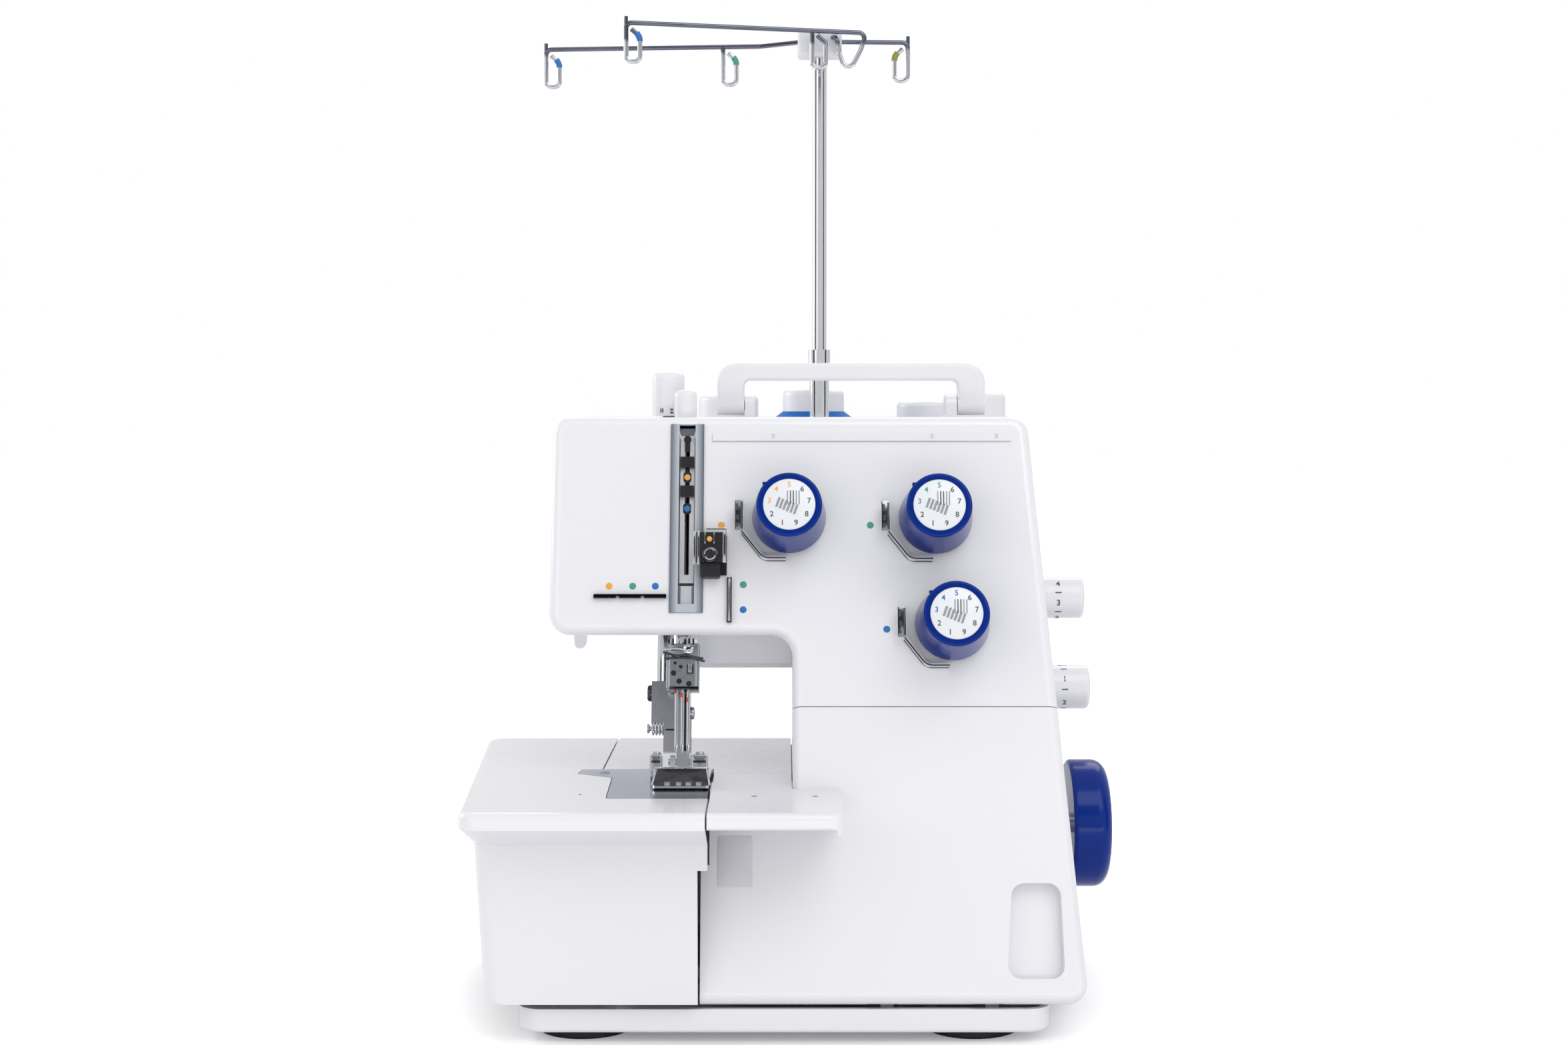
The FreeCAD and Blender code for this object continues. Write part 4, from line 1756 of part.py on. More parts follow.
def build():
    shell = case_shell()
    hub = make_antenna_hub()
    nodes = {
        "front_panel": make_front_panel(shell),
        "rear_cover": make_rear_cover(shell),
        "case_screws": make_case_screws(),
        "front_cover": make_front_cover(),
        "cover_hinge_rod": make_cover_hinge_rod(),
        "extension_table": make_extension_table(),
        "rear_bed": make_rear_bed(),
        "needle_plate": make_needle_plate(),
        "feed_dog": make_feed_dog(),
        "base_tray": make_base_tray(),
        "feet": make_feet(),
        "main_frame": make_main_frame(),
        "shaft_bushes": make_shaft_bushes(),
        "main_shaft": make_main_shaft(),
        "shaft_pulleys": make_shaft_pulleys(),
        "arm_pulley": make_arm_pulley(),
        "arm_shaft": make_arm_shaft(),
        "motor": make_motor(),
        "motor_armature": make_motor_armature(),
        "motor_pulley": make_motor_pulley(),
        "drive_belt": make_drive_belt(),
        "timing_belt": make_timing_belt(),
        "handwheel": make_handwheel(),
        "needle_bar": make_needle_bar(),
        "needle_clamp": make_needle_clamp(),
        "needles": make_needles(),
        "presser_bar": make_presser_bar(),
        "foot_holder": make_foot_holder(),
        "presser_foot": make_presser_foot(),
        "presser_lifter": make_presser_lifter(),
        "looper": make_looper(),
        "top_thread_guide": make_top_thread_guide(),
        "takeup_frame": make_takeup_frame(),
        "takeup_lever": make_takeup_lever(),
        "takeup_clips": make_takeup_clips(),
        "pretension_bracket": make_pretension_bracket(),
        "face_thread_guides": make_face_thread_guides(),
        "needle_bar_cap": make_needle_bar_cap(),
        "pressure_dial": make_pressure_dial(),
        "lamp": make_lamp(),
        "tension_studs": make_tension_studs(),
        "tension_discs": make_tension_discs(),
        "dial_thread_guides": make_dial_thread_guides(),
        "stitch_length_knob": side_knob(LENGTH_KNOB_Z, LENGTH_KNOB_RADIUS, LENGTH_KNOB_RIGHT),
        "feed_ratio_knob": side_knob(FEED_KNOB_Z, FEED_KNOB_RADIUS, FEED_KNOB_RIGHT),
        "carry_handle": make_carry_handle(),
        "power_inlet": make_power_inlet(),
        "power_switch": make_power_switch(),
        "spool_stand": make_spool_stand(),
        "lower_pole": make_lower_pole(),
        "upper_pole": make_upper_pole(),
        "antenna_hub": hub,
        "antenna_wires": make_antenna_wires(hub),
        "spool_pins": make_spool_pins(),
        "cone_cores": make_cone_cores(),
        "blue_thread": make_blue_thread(),
        "white_thread": make_white_thread(),
    }
    for name in DIALS:
        nodes["tension_dial_" + name] = make_tension_dial(name)
    return nodes


def export(nodes):
    """Write each node with the origin on the floor under the middle of the object's box."""
    os.makedirs("parts", exist_ok=True)
    left = nodes["extension_table"].optimalBoundingBox(False)
    centre = Vec(-(left.XMin + WHEEL_RIGHT) / 2, -(left.YMin + STAND_FRONT + STAND_DEPTH) / 2, 0)
    print("shift", centre)
    for name, shapes in nodes.items():
        solids = []
        for shape in (shapes if isinstance(shapes, list) else [shapes]):
            solids.extend(shape.Solids)
        whole = solids[0].copy() if len(solids) == 1 else Part.makeCompound(solids)
        whole.translate(centre)
        whole.exportStep("parts/" + name + ".step")
        state = "sound" if whole.isValid() else "faulty"
        print(name, len(solids), "solids", state, round(whole.Volume), "mm3")


export(build())
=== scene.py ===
import json
import math

import bpy
import numpy as np
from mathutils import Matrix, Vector


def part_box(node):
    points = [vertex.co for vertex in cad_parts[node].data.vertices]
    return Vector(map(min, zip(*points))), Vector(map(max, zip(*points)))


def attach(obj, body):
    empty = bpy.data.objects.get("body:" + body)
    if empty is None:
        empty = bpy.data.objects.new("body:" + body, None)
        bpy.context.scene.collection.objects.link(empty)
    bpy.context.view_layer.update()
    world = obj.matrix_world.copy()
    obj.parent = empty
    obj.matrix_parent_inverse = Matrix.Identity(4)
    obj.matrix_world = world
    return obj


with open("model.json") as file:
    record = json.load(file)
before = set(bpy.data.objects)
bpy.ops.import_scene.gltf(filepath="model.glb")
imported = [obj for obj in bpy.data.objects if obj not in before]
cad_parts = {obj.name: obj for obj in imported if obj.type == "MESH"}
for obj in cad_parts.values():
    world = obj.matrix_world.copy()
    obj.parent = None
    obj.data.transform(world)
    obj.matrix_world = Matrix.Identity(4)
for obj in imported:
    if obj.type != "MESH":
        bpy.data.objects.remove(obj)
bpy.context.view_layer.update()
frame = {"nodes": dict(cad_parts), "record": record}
nodes = frame["nodes"]

# Frames. Local sizes are millimetres from the drawing's own zero, which the frame's boxes give back.
MM = 0.001
WHEEL_RIGHT = 159.4
ZERO = np.array([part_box("handwheel")[1].x - WHEEL_RIGHT * MM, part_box("extension_table")[0].y, 0.0])
TILT = math.radians(16.0)
ACROSS = np.array([1.0, 0.0, 0.0])
DEEP = np.array([0.0, 1.0, 0.0])
HIGH = np.array([0.0, 0.0, 1.0])
SLOPE_UP = np.array([0.0, math.sin(TILT), math.cos(TILT)])
SLOPE_IN = np.array([0.0, math.cos(TILT), -math.sin(TILT)])
SLOPE_OUT = -SLOPE_IN
BED = 112.0
HEAD_BOTTOM = 180.5
PANEL_FOOT = np.array([0.0, 60.0, BED])
NEEDLE_FOOT = np.array([-48.0, 79.0, BED])
DIAL_FRONT = 31.5
POLE = np.array([19.0, 233.0])


def placer(origin, first, second, third):
    """Turns local millimetres on three axes into metres of the row frame."""
    axes = np.array([first, second, third])

    def place(points):
        return ZERO + (np.asarray(origin) + np.asarray(points) @ axes) * MM

    return place


def on_panel(x, up, lift=0.0):
    """Frame on the sloping front, with its third axis pointing out of it."""
    return placer(PANEL_FOOT + x * ACROSS + up * SLOPE_UP + lift * SLOPE_OUT, ACROSS, SLOPE_UP, SLOPE_OUT)


def needle_spot(x, deep, up):
    return NEEDLE_FOOT + x * ACROSS + deep * SLOPE_IN + up * SLOPE_UP


def by_needle(x, deep, up):
    """Frame beside the needle bar, with its third axis pointing to the front."""
    return placer(needle_spot(x, deep, up), ACROSS, SLOPE_UP, SLOPE_OUT)


def upright(x, y, z):
    return placer(np.array([x, y, z]), ACROSS, DEEP, HIGH)


# Meshes
SMOOTH_ANGLE = math.radians(35)
SLAB_AROUND = 48
EDGE_STEPS = 4
SMALLEST_CORNER = 0.05
# A flat button as shares of its radius and of its thickness, from its foot to its top
BUTTON = [(1.0, 0.0), (1.0, 0.5), (0.94, 0.85), (0.8, 1.0)]
DRIVER_REACH = 0.82
DRIVER_SUNK = 0.12
DRIVER_THICK = 0.2
LETTER_HALF = 0.04
LETTER_SWELL = 0.02


def put_in(mesh, name, body, finish):
    """Makes an object of a finished mesh and lets it ride on a body."""
    mesh.polygons.foreach_set("use_smooth", np.ones(len(mesh.polygons), bool))
    mesh.set_sharp_from_angle(angle=SMOOTH_ANGLE)
    mesh.materials.clear()
    mesh.materials.append(finish)
    mesh.update()
    piece = bpy.data.objects.new(name, mesh)
    bpy.context.scene.collection.objects.link(piece)
    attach(piece, body)


def rings_piece(name, rings, ends, place, body, finish):
    """Skin over stacked closed rings of points, with a fan to an end point below and one above."""
    count, around = rings.shape[:2]
    index = np.arange(count * around).reshape(count, around)
    following = np.roll(index, -1, axis=1)
    quads = np.stack([index[:-1], following[:-1], following[1:], index[1:]], -1).reshape(-1, 4)
    low = np.full(around, count * around)
    floor = np.stack([low, following[0], index[0]], -1)
    roof = np.stack([low + 1, index[-1], following[-1]], -1)
    points = place(np.vstack([rings.reshape(-1, 3), ends]))
    mesh = bpy.data.meshes.new(name)
    mesh.from_pydata(points.tolist(), [], quads.tolist() + floor.tolist() + roof.tolist())
    put_in(mesh, name, body, finish)


def revolve(name, profile, place, body, finish, around=40):
    """Surface of revolution: each profile pair (radius, height) becomes a circle about the third axis,
    x = radius cos a, y = radius sin a, z = height, and both ends close in a point on the axis."""
    profile = np.asarray(profile, float)
    turn = np.linspace(0, 2 * np.pi, around, endpoint=False)
    radius = profile[:, 0][:, None]
    height = np.repeat(profile[:, 1][:, None], around, 1)
    rings = np.stack([radius * np.cos(turn), radius * np.sin(turn), height], -1)
    ends = [[0, 0, profile[0, 1]], [0, 0, profile[-1, 1]]]
    rings_piece(name, rings, ends, place, body, finish)


def slab(name, size, place, body, finish, corner=0.4, edge=0.15, shear=0.0, taper=0.0):
    """Plate with rounded corners and edges, of size (half width, half height, thickness): a rounded
    rectangle, whose four arcs share one angle, is drawn in by edge times (1 - cos b) while it rises by edge
    times sin b, for b from the side to the top. Shear moves the outline sideways with its height, and taper
    widens it with its height."""
    half_width, half_height, thick = size
    turn = np.linspace(0, 2 * np.pi, SLAB_AROUND, endpoint=False) + np.pi / SLAB_AROUND
    bend = np.linspace(0, np.pi / 2, EDGE_STEPS)
    drawn = edge * (1 - np.cos(bend))
    risen = edge * (1 - np.sin(bend))
    inset = np.concatenate([drawn[::-1], drawn])
    rise = np.concatenate([risen[::-1], thick - risen])
    tight = np.maximum(corner - inset, SMALLEST_CORNER)[:, None]
    wide = (half_width - inset)[:, None] - tight
    tall = (half_height - inset)[:, None] - tight
    x = np.sign(np.cos(turn)) * wide + tight * np.cos(turn)
    y = np.sign(np.sin(turn)) * tall + tight * np.sin(turn)
    x = x * (1 + taper * y / half_height) + shear * y
    z = np.repeat(rise[:, None], SLAB_AROUND, 1)
    ends = [[0, 0, rise[0]], [0, 0, rise[-1]]]
    rings_piece(name, np.stack([x, y, z], -1), ends, place, body, finish)


def tube(name, path, radius, across, place, body, finish, around=12):
    """Round wire: at each point of a path a circle is drawn on two directions, both at right angles to the
    path, the first one being the path's direction crossed with the vector across."""
    path = np.asarray(path, float)
    ahead = np.gradient(path, axis=0)
    ahead /= np.linalg.norm(ahead, axis=1)[:, None]
    side = np.cross(ahead, across)
    side /= np.linalg.norm(side, axis=1)[:, None]
    over = np.cross(ahead, side)
    turn = np.linspace(0, 2 * np.pi, around, endpoint=False)
    circle = np.cos(turn)[None, :, None] * side[:, None] + np.sin(turn)[None, :, None] * over[:, None]
    rings_piece(name, path[:, None] + radius * circle, path[[0, -1]], place, body, finish)


def dome(radius, thick):
    """Profile of a flat button with a rounded rim."""
    return [(radius * wide, thick * high) for wide, high in BUTTON]


def curve(start, knee, end, share):
    """Points at shares s of a curve that leaves its start and reaches its end along the lines to the knee:
    (1 - s)^2 start + 2 s (1 - s) knee + s^2 end."""
    return (1 - share) ** 2 * start + 2 * share * (1 - share) * knee + share ** 2 * end


def screw_head(name, radius, thick, place, body, finish, turn=0.5, slit=0.16):
    """Round head with a driver slot across it, turned by an angle; the slot is a black slab of painted shade.
    """
    revolve(name, dome(radius, thick), place, body, finish)
    spin = np.array([[math.cos(turn), math.sin(turn), 0], [-math.sin(turn), math.cos(turn), 0], [0, 0, 1]])

    def slot_place(points):
        return place(np.asarray(points) @ spin + [0, 0, thick - DRIVER_SUNK])

    size = (DRIVER_REACH * radius, slit * radius, DRIVER_THICK)
    slab(name + "_slot", size, slot_place, body, BLACK, corner=0.1, edge=0.05)


def lettering(name, words, size, place, body, finish, wrap=None):
    """Small printed characters, twice LETTER_HALF thick. With a wrap radius the flat print is rolled round a
    cylinder: the height above its middle becomes an arc of that radius."""
    font = bpy.data.curves.new(name, "FONT")
    font.body = words
    font.size = size
    font.align_x = "CENTER"
    font.align_y = "CENTER"
    font.extrude = LETTER_HALF
    font.offset = LETTER_SWELL * size
    holder = bpy.data.objects.new(name + "_text", font)
    bpy.context.scene.collection.objects.link(holder)
    bpy.context.view_layer.update()
    mesh = bpy.data.meshes.new_from_object(holder.evaluated_get(bpy.context.evaluated_depsgraph_get()))
    bpy.data.objects.remove(holder)
    bpy.data.curves.remove(font)
    mesh.name = name
    points = np.empty(len(mesh.vertices) * 3)
    mesh.vertices.foreach_get("co", points)
    points = points.reshape(-1, 3)
    if wrap:
        arc = points[:, 1] / wrap
        out = wrap + points[:, 2]
        points = np.stack([points[:, 0], out * np.sin(arc), out * np.cos(arc) - wrap], -1)
    mesh.vertices.foreach_set("co", place(points).ravel())
    put_in(mesh, name, body, finish)


# Materials
CLOUD_DETAIL = 3.0
GRAIN_FINER = 14
GRAIN_DETAIL = 2.0
RELIEF_DEPTH = 0.0002
COAT_ROUGHNESS = 0.06
# Sockets of a mix node for its share, its two colours and their blend
MIX_SHARE = 0
MIX_FIRST = 6
MIX_SECOND = 7
MIX_BLEND = 2
WINDING_LEAN = (0.14, 0.1, 0.0)
WINDING_BANDS = 260.0
WINDING_WANDER = 1.2
WINDING_DETAIL = 2.0
WINDING_STRENGTH = 0.55
WINDING_DEPTH = 0.0004


def material(name, colour, shade, scale, rough, spread, bump, metal=0.0, coat=0.0, shine=0.5,
             stretch=(1, 1, 1)):
    """Procedural finish on object coordinates: one noise mixes two tones, a finer one moves the roughness,
    and the same finer one lifts the surface a little."""
    made = bpy.data.materials.new(name)
    made.use_nodes = True
    tree = made.node_tree
    shader = tree.nodes["Principled BSDF"]
    place = tree.nodes.new("ShaderNodeTexCoord")
    mapping = tree.nodes.new("ShaderNodeMapping")
    mapping.inputs["Scale"].default_value = stretch
    tree.links.new(place.outputs["Object"], mapping.inputs["Vector"])
    clouds = tree.nodes.new("ShaderNodeTexNoise")
    clouds.inputs["Scale"].default_value = scale
    clouds.inputs["Detail"].default_value = CLOUD_DETAIL
    grain = tree.nodes.new("ShaderNodeTexNoise")
    grain.inputs["Scale"].default_value = scale * GRAIN_FINER
    grain.inputs["Detail"].default_value = GRAIN_DETAIL
    for noise in (clouds, grain):
        tree.links.new(mapping.outputs["Vector"], noise.inputs["Vector"])
    tones = tree.nodes.new("ShaderNodeMix")
    tones.name = "tones"
    tones.data_type = "RGBA"
    tones.inputs[MIX_FIRST].default_value = (*colour, 1)
    tones.inputs[MIX_SECOND].default_value = (*shade, 1)
    tree.links.new(clouds.outputs["Fac"], tones.inputs[MIX_SHARE])
    tree.links.new(tones.outputs[MIX_BLEND], shader.inputs["Base Color"])
    polish = tree.nodes.new("ShaderNodeMapRange")
    polish.inputs["To Min"].default_value = rough - spread
    polish.inputs["To Max"].default_value = rough + spread
    tree.links.new(grain.outputs["Fac"], polish.inputs["Value"])
    tree.links.new(polish.outputs["Result"], shader.inputs["Roughness"])
    relief = tree.nodes.new("ShaderNodeBump")
    relief.inputs["Strength"].default_value = bump
    relief.inputs["Distance"].default_value = RELIEF_DEPTH
    tree.links.new(grain.outputs["Fac"], relief.inputs["Height"])
    tree.links.new(relief.outputs["Normal"], shader.inputs["Normal"])
    shader.inputs["Metallic"].default_value = metal
    shader.inputs["Coat Weight"].default_value = coat
    shader.inputs["Coat Roughness"].default_value = COAT_ROUGHNESS
    shader.inputs["Specular IOR Level"].default_value = shine
    return made


def thread_material(name, colour, shade):
    """Wound thread: slanting bands of a wave on object coordinates lift the surface."""
    made = material(name, colour, shade, scale=60.0, rough=0.62, spread=0.1, bump=0.1, shine=0.3)
    tree = made.node_tree
    place = tree.nodes.new("ShaderNodeTexCoord")
    mapping = tree.nodes.new("ShaderNodeMapping")
    mapping.inputs["Rotation"].default_value = WINDING_LEAN
    wave = tree.nodes.new("ShaderNodeTexWave")
    wave.bands_direction = "Z"
    wave.inputs["Scale"].default_value = WINDING_BANDS
    wave.inputs["Distortion"].default_value = WINDING_WANDER
    wave.inputs["Detail"].default_value = WINDING_DETAIL
    relief = tree.nodes.new("ShaderNodeBump")
    relief.inputs["Strength"].default_value = WINDING_STRENGTH
    relief.inputs["Distance"].default_value = WINDING_DEPTH
    tree.links.new(place.outputs["Object"], mapping.inputs["Vector"])
    tree.links.new(mapping.outputs["Vector"], wave.inputs["Vector"])
    tree.links.new(wave.outputs["Fac"], relief.inputs["Height"])
    tree.links.new(relief.outputs["Normal"], tree.nodes["Principled BSDF"].inputs["Normal"])
    return made


def graded(made, axis, middle, near, far, colour):
    """Adds a grade to a finish: its tones turn into another colour with the distance from a middle plane,
    from the near distance to the far one."""
    tree = made.node_tree
    place = tree.nodes.new("ShaderNodeTexCoord")
    split = tree.nodes.new("ShaderNodeSeparateXYZ")
    offset = tree.nodes.new("ShaderNodeMath")
    offset.operation = "SUBTRACT"
    offset.inputs[1].default_value = middle
    size = tree.nodes.new("ShaderNodeMath")
    size.operation = "ABSOLUTE"
    ramp = tree.nodes.new("ShaderNodeMapRange")
    ramp.inputs["From Min"].default_value = near
    ramp.inputs["From Max"].default_value = far
    blend = tree.nodes.new("ShaderNodeMix")
    blend.data_type = "RGBA"
    blend.inputs[MIX_SECOND].default_value = (*colour, 1)
    tree.links.new(place.outputs["Object"], split.inputs["Vector"])
    tree.links.new(split.outputs[axis], offset.inputs[0])
    tree.links.new(offset.outputs["Value"], size.inputs[0])
    tree.links.new(size.outputs["Value"], ramp.inputs["Value"])
    tree.links.new(ramp.outputs["Result"], blend.inputs[MIX_SHARE])
    tree.links.new(tree.nodes["tones"].outputs[MIX_BLEND], blend.inputs[MIX_FIRST])
    tree.links.new(blend.outputs[MIX_BLEND], tree.nodes["Principled BSDF"].inputs["Base Color"])


SLOT_X = -46.15
WHITE_SHELL = material("white_shell", (0.83, 0.83, 0.86), (0.80, 0.80, 0.835), scale=9.0, rough=0.24,
                       spread=0.05, bump=0.02, coat=0.3)
WHITE_TRIM = material("white_trim", (0.81, 0.81, 0.84), (0.77, 0.77, 0.805), scale=30.0, rough=0.32,
                      spread=0.06, bump=0.03, coat=0.15)
NAVY = material("navy", (0.0005, 0.024, 0.23), (0.0005, 0.018, 0.19), scale=40.0, rough=0.18, spread=0.04,
                bump=0.02, coat=0.05, shine=0.18)
CHROME = material("chrome", (0.78, 0.79, 0.81), (0.70, 0.71, 0.74), scale=60.0, rough=0.09, spread=0.03,
                  bump=0.01, metal=1.0)
# Chrome of the hook plates, its base colour darkened to paint in their dark reflections
GUARD = material("guard", (0.40, 0.42, 0.46), (0.30, 0.31, 0.34), scale=90.0, rough=0.14, spread=0.05,
                 bump=0.04, metal=1.0)
# Pale half-metal for the chrome take-up lever and dial thread guides: its light base colour is a painted
# reflection of the white surroundings
BRIGHT_PAINTED_REFLECTION = material("bright_painted_reflection", (0.84, 0.85, 0.87), (0.76, 0.77, 0.80), scale=40.0, rough=0.34, spread=0.06,
                  bump=0.03, metal=0.6)
SATIN = material("satin", (0.64, 0.66, 0.71), (0.48, 0.50, 0.54), scale=70.0, rough=0.24, spread=0.06,
                 bump=0.04, metal=1.0)
# Antenna wire chrome painted dark, a painted reflection of dark surroundings; the grade below paints it pale
# more than a few millimetres above or below the arms' height
ARM_WIRE_PAINTED_REFLECTION = material("arm_wire_painted_reflection", (0.20, 0.21, 0.27), (0.13, 0.14, 0.18), scale=70.0, rough=0.14, spread=0.05,
                    bump=0.02, metal=1.0)
graded(ARM_WIRE_PAINTED_REFLECTION, "Z", middle=0.486, near=0.0055, far=0.0075, colour=(0.66, 0.67, 0.71))
STEEL = material("steel", (0.50, 0.52, 0.56), (0.42, 0.44, 0.48), scale=30.0, rough=0.28, spread=0.07,
                 bump=0.04, metal=1.0, stretch=(1, 9, 9))
# Needle plate steel, its blue tint partly painted light: the lavender cast of the light on upward faces
PLATE = material("plate", (0.47, 0.50, 0.58), (0.44, 0.47, 0.55), scale=30.0, rough=0.30, spread=0.05,
                 bump=0.02, metal=1.0)
CASTING = material("casting", (0.50, 0.51, 0.53), (0.42, 0.43, 0.45), scale=70.0, rough=0.52, spread=0.1,
                   bump=0.3, metal=1.0)
BRONZE = material("bronze", (0.48, 0.27, 0.08), (0.40, 0.22, 0.06), scale=80.0, rough=0.3, spread=0.08,
                  bump=0.05, metal=1.0)
BLACK = material("black", (0.012, 0.012, 0.014), (0.02, 0.02, 0.023), scale=60.0, rough=0.4, spread=0.08,
                 bump=0.05, shine=0.3)
GLOSS_BLACK = material("gloss_black", (0.014, 0.014, 0.016), (0.03, 0.03, 0.033), scale=60.0, rough=0.16,
                       spread=0.05, bump=0.02, coat=0.3)
RUBBER = material("rubber", (0.010, 0.010, 0.011), (0.016, 0.016, 0.018), scale=90.0, rough=0.42,
                  spread=0.1, bump=0.15, shine=0.3)
SLOT_GREY_SIDE_SHADE = material("slot_grey", (0.52, 0.55, 0.60), (0.44, 0.47, 0.52), scale=40.0, rough=0.3,
                     spread=0.06, bump=0.04, coat=0.2)
# The grade darkens the slot lining with the distance from the slot's middle: painted shade on the recess's
# side walls
graded(SLOT_GREY_SIDE_SHADE, "X", middle=ZERO[0] + SLOT_X * MM, near=0.0042, far=0.0080, colour=(0.10, 0.12, 0.16))
LENS = material("lens", (0.82, 0.82, 0.74), (0.74, 0.74, 0.68), scale=120.0, rough=0.3, spread=0.08,
                bump=0.2)
MOTOR_PAINT = material("motor_paint", (0.02, 0.02, 0.023), (0.03, 0.03, 0.034), scale=80.0, rough=0.45,
                       spread=0.08, bump=0.1)
THREAD_BLUE = thread_material("thread_blue", (0.010, 0.15, 0.54), (0.008, 0.11, 0.43))
THREAD_WHITE = thread_material("thread_white", (0.86, 0.86, 0.88), (0.79, 0.79, 0.82))
FACE_WHITE = material("face_white", (0.80, 0.82, 0.85), (0.76, 0.78, 0.82), scale=90.0, rough=0.3,
                      spread=0.05, bump=0.02)
# Dark ink of the printed numbers and marks; also used for painted dark reflection and shade on the hook
# plates and painted shade along the fork's sides
DARK_PRINT_AND_SHADE = material("dark_print_and_shade", (0.05, 0.055, 0.07), (0.08, 0.085, 0.10), scale=500.0, rough=0.5,
                      spread=0.08, bump=0.02)
PRINT_GREY = material("print_grey", (0.24, 0.25, 0.28), (0.34, 0.35, 0.38), scale=500.0, rough=0.5,
                      spread=0.08, bump=0.02)
ORANGE = material("orange", (0.86, 0.42, 0.08), (0.80, 0.36, 0.06), scale=300.0, rough=0.4, spread=0.06,
                  bump=0.02)
GREEN = material("green", (0.07, 0.34, 0.27), (0.05, 0.29, 0.23), scale=300.0, rough=0.4, spread=0.06,
                 bump=0.02)
BLUE = material("blue", (0.018, 0.17, 0.52), (0.014, 0.14, 0.46), scale=300.0, rough=0.4, spread=0.06,
                bump=0.02)
RED = material("red", (0.62, 0.05, 0.03), (0.52, 0.04, 0.02), scale=300.0, rough=0.4, spread=0.06,
               bump=0.02)
OLIVE = material("olive", (0.30, 0.29, 0.05), (0.25, 0.24, 0.04), scale=300.0, rough=0.4, spread=0.06,
                 bump=0.02)
# Chrome with its base colour painted dark: painted reflection of dark surroundings on the guides, guard
# edges, screws, clamp and wires, and painted shade in the holder slit
CHROME_PAINTED_DARK = material("chrome_painted_dark", (0.10, 0.105, 0.115), (0.06, 0.062, 0.07), scale=60.0, rough=0.12,
                       spread=0.04, bump=0.02, metal=1.0)
# Grey of the small recess under the ledge: painted shade
RECESS_SHADE_GREY = material("recess_shade_grey", (0.70, 0.70, 0.735), (0.66, 0.66, 0.70), scale=30.0, rough=0.35,
                       spread=0.06, bump=0.03)

FINISHES = {
    "white_shell": WHITE_SHELL, "white_trim": WHITE_TRIM, "navy": NAVY, "chrome": CHROME, "steel": STEEL,
    "casting": CASTING, "bronze": BRONZE, "black": BLACK, "rubber": RUBBER, "slot_grey": SLOT_GREY_SIDE_SHADE,
    "thread_blue": THREAD_BLUE, "thread_white": THREAD_WHITE, "lens": LENS, "motor_paint": MOTOR_PAINT,
}
OWN_FINISHES = {
    "face_thread_guides": CHROME_PAINTED_DARK, "dial_thread_guides": BRIGHT_PAINTED_REFLECTION, "foot_holder": SATIN,
    "takeup_lever": BRIGHT_PAINTED_REFLECTION, "antenna_wires": ARM_WIRE_PAINTED_REFLECTION, "needle_plate": PLATE,
}
for part in frame["record"]["subparts"]:
    node = nodes[part["node"]]
    node.data.materials.clear()
    node.data.materials.append(OWN_FINISHES.get(part["node"], FINISHES[part["material_slot"]]))

# Coloured threading dots on the front, each at (x, up)
DOT_RADIUS = 1.65
DOT_THICK = 0.12
DOTS = [("orange", ORANGE, [(-82.4, 95.4), (-29.7, 124.9)]),
        ("green", GREEN, [(-71.3, 95.4), (-19.2, 96.1), (40.9, 124.9)]),
        ("blue", BLUE, [(-60.6, 95.4), (-19.2, 84.1), (48.2, 74.8)])]
for colour, finish, spots in DOTS:
    for count, (x, up) in enumerate(spots):
        revolve(f"dot_{colour}_{count}", dome(DOT_RADIUS, DOT_THICK), on_panel(x, up), "machine", finish)

# Dial faces with plain numbers and a generic stroke pattern
# Dials: name, x, rise over the head's lower edge, colour of the middle numbers
DIALS = [("left", 2.4, 54.2, ORANGE), ("right", 71.6, 53.9, GREEN), ("lower", 78.6, 5.2, BLUE)]
FACE_LIFT = DIAL_FRONT - 0.58
FACE_PROFILE = [(12.05, 0), (12.05, 0.28), (11.9, 0.36)]
PRINT_LIFT = DIAL_FRONT - 0.24
FIRST_NUMBER_ANGLE = 250.0
NUMBER_STEP = 40.0
NUMBER_RADIUS = 9.3
NUMBER_SIZE = 3.5
TINTED_NUMBERS = (3, 4, 5)
STROKES = np.linspace(-0.8, 4.6, 5)
STROKE_SIZE = (0.26, 3.3, 0.08)
STROKE_UP = 3.2
DARK_STROKES = (1, 2)
HATCHES = np.linspace(-5.2, 3.0, 6)
HATCH_SIZE = (0.6, 2.3, 0.08)
HATCH_UP = -1.2
HATCH_FALL = 0.42
HATCH_SHEAR = 0.35
NOTCH_ANGLE = math.radians(138.0)
NOTCH_RADIUS = 15.3
NOTCH_SIZE = (1.0, 0.55, 3.0)
NOTCH_LIFT = DIAL_FRONT - 3.6

# Thread hook and bent guard left of each dial, measured from the dial's middle
HOOK_LEFT = -25.8
HOOK_LIFT = 6.98
HOOK_REFLECTION_LIFT = HOOK_LIFT + 0.1
HOOK_FACE_SIZE = (1.9, 7.2, 0.12)
HOOK_FACE_X = 2.1
HOOK_FACE_UP = 0.5
HOOK_LINE_SIZE = (0.4, 6.4, 0.12)
HOOK_LINE_X = 3.3
HOOK_LINE_UP = 0.6
HOOK_MARK_HALF = 0.55
HOOK_MARK_THICK = 0.12
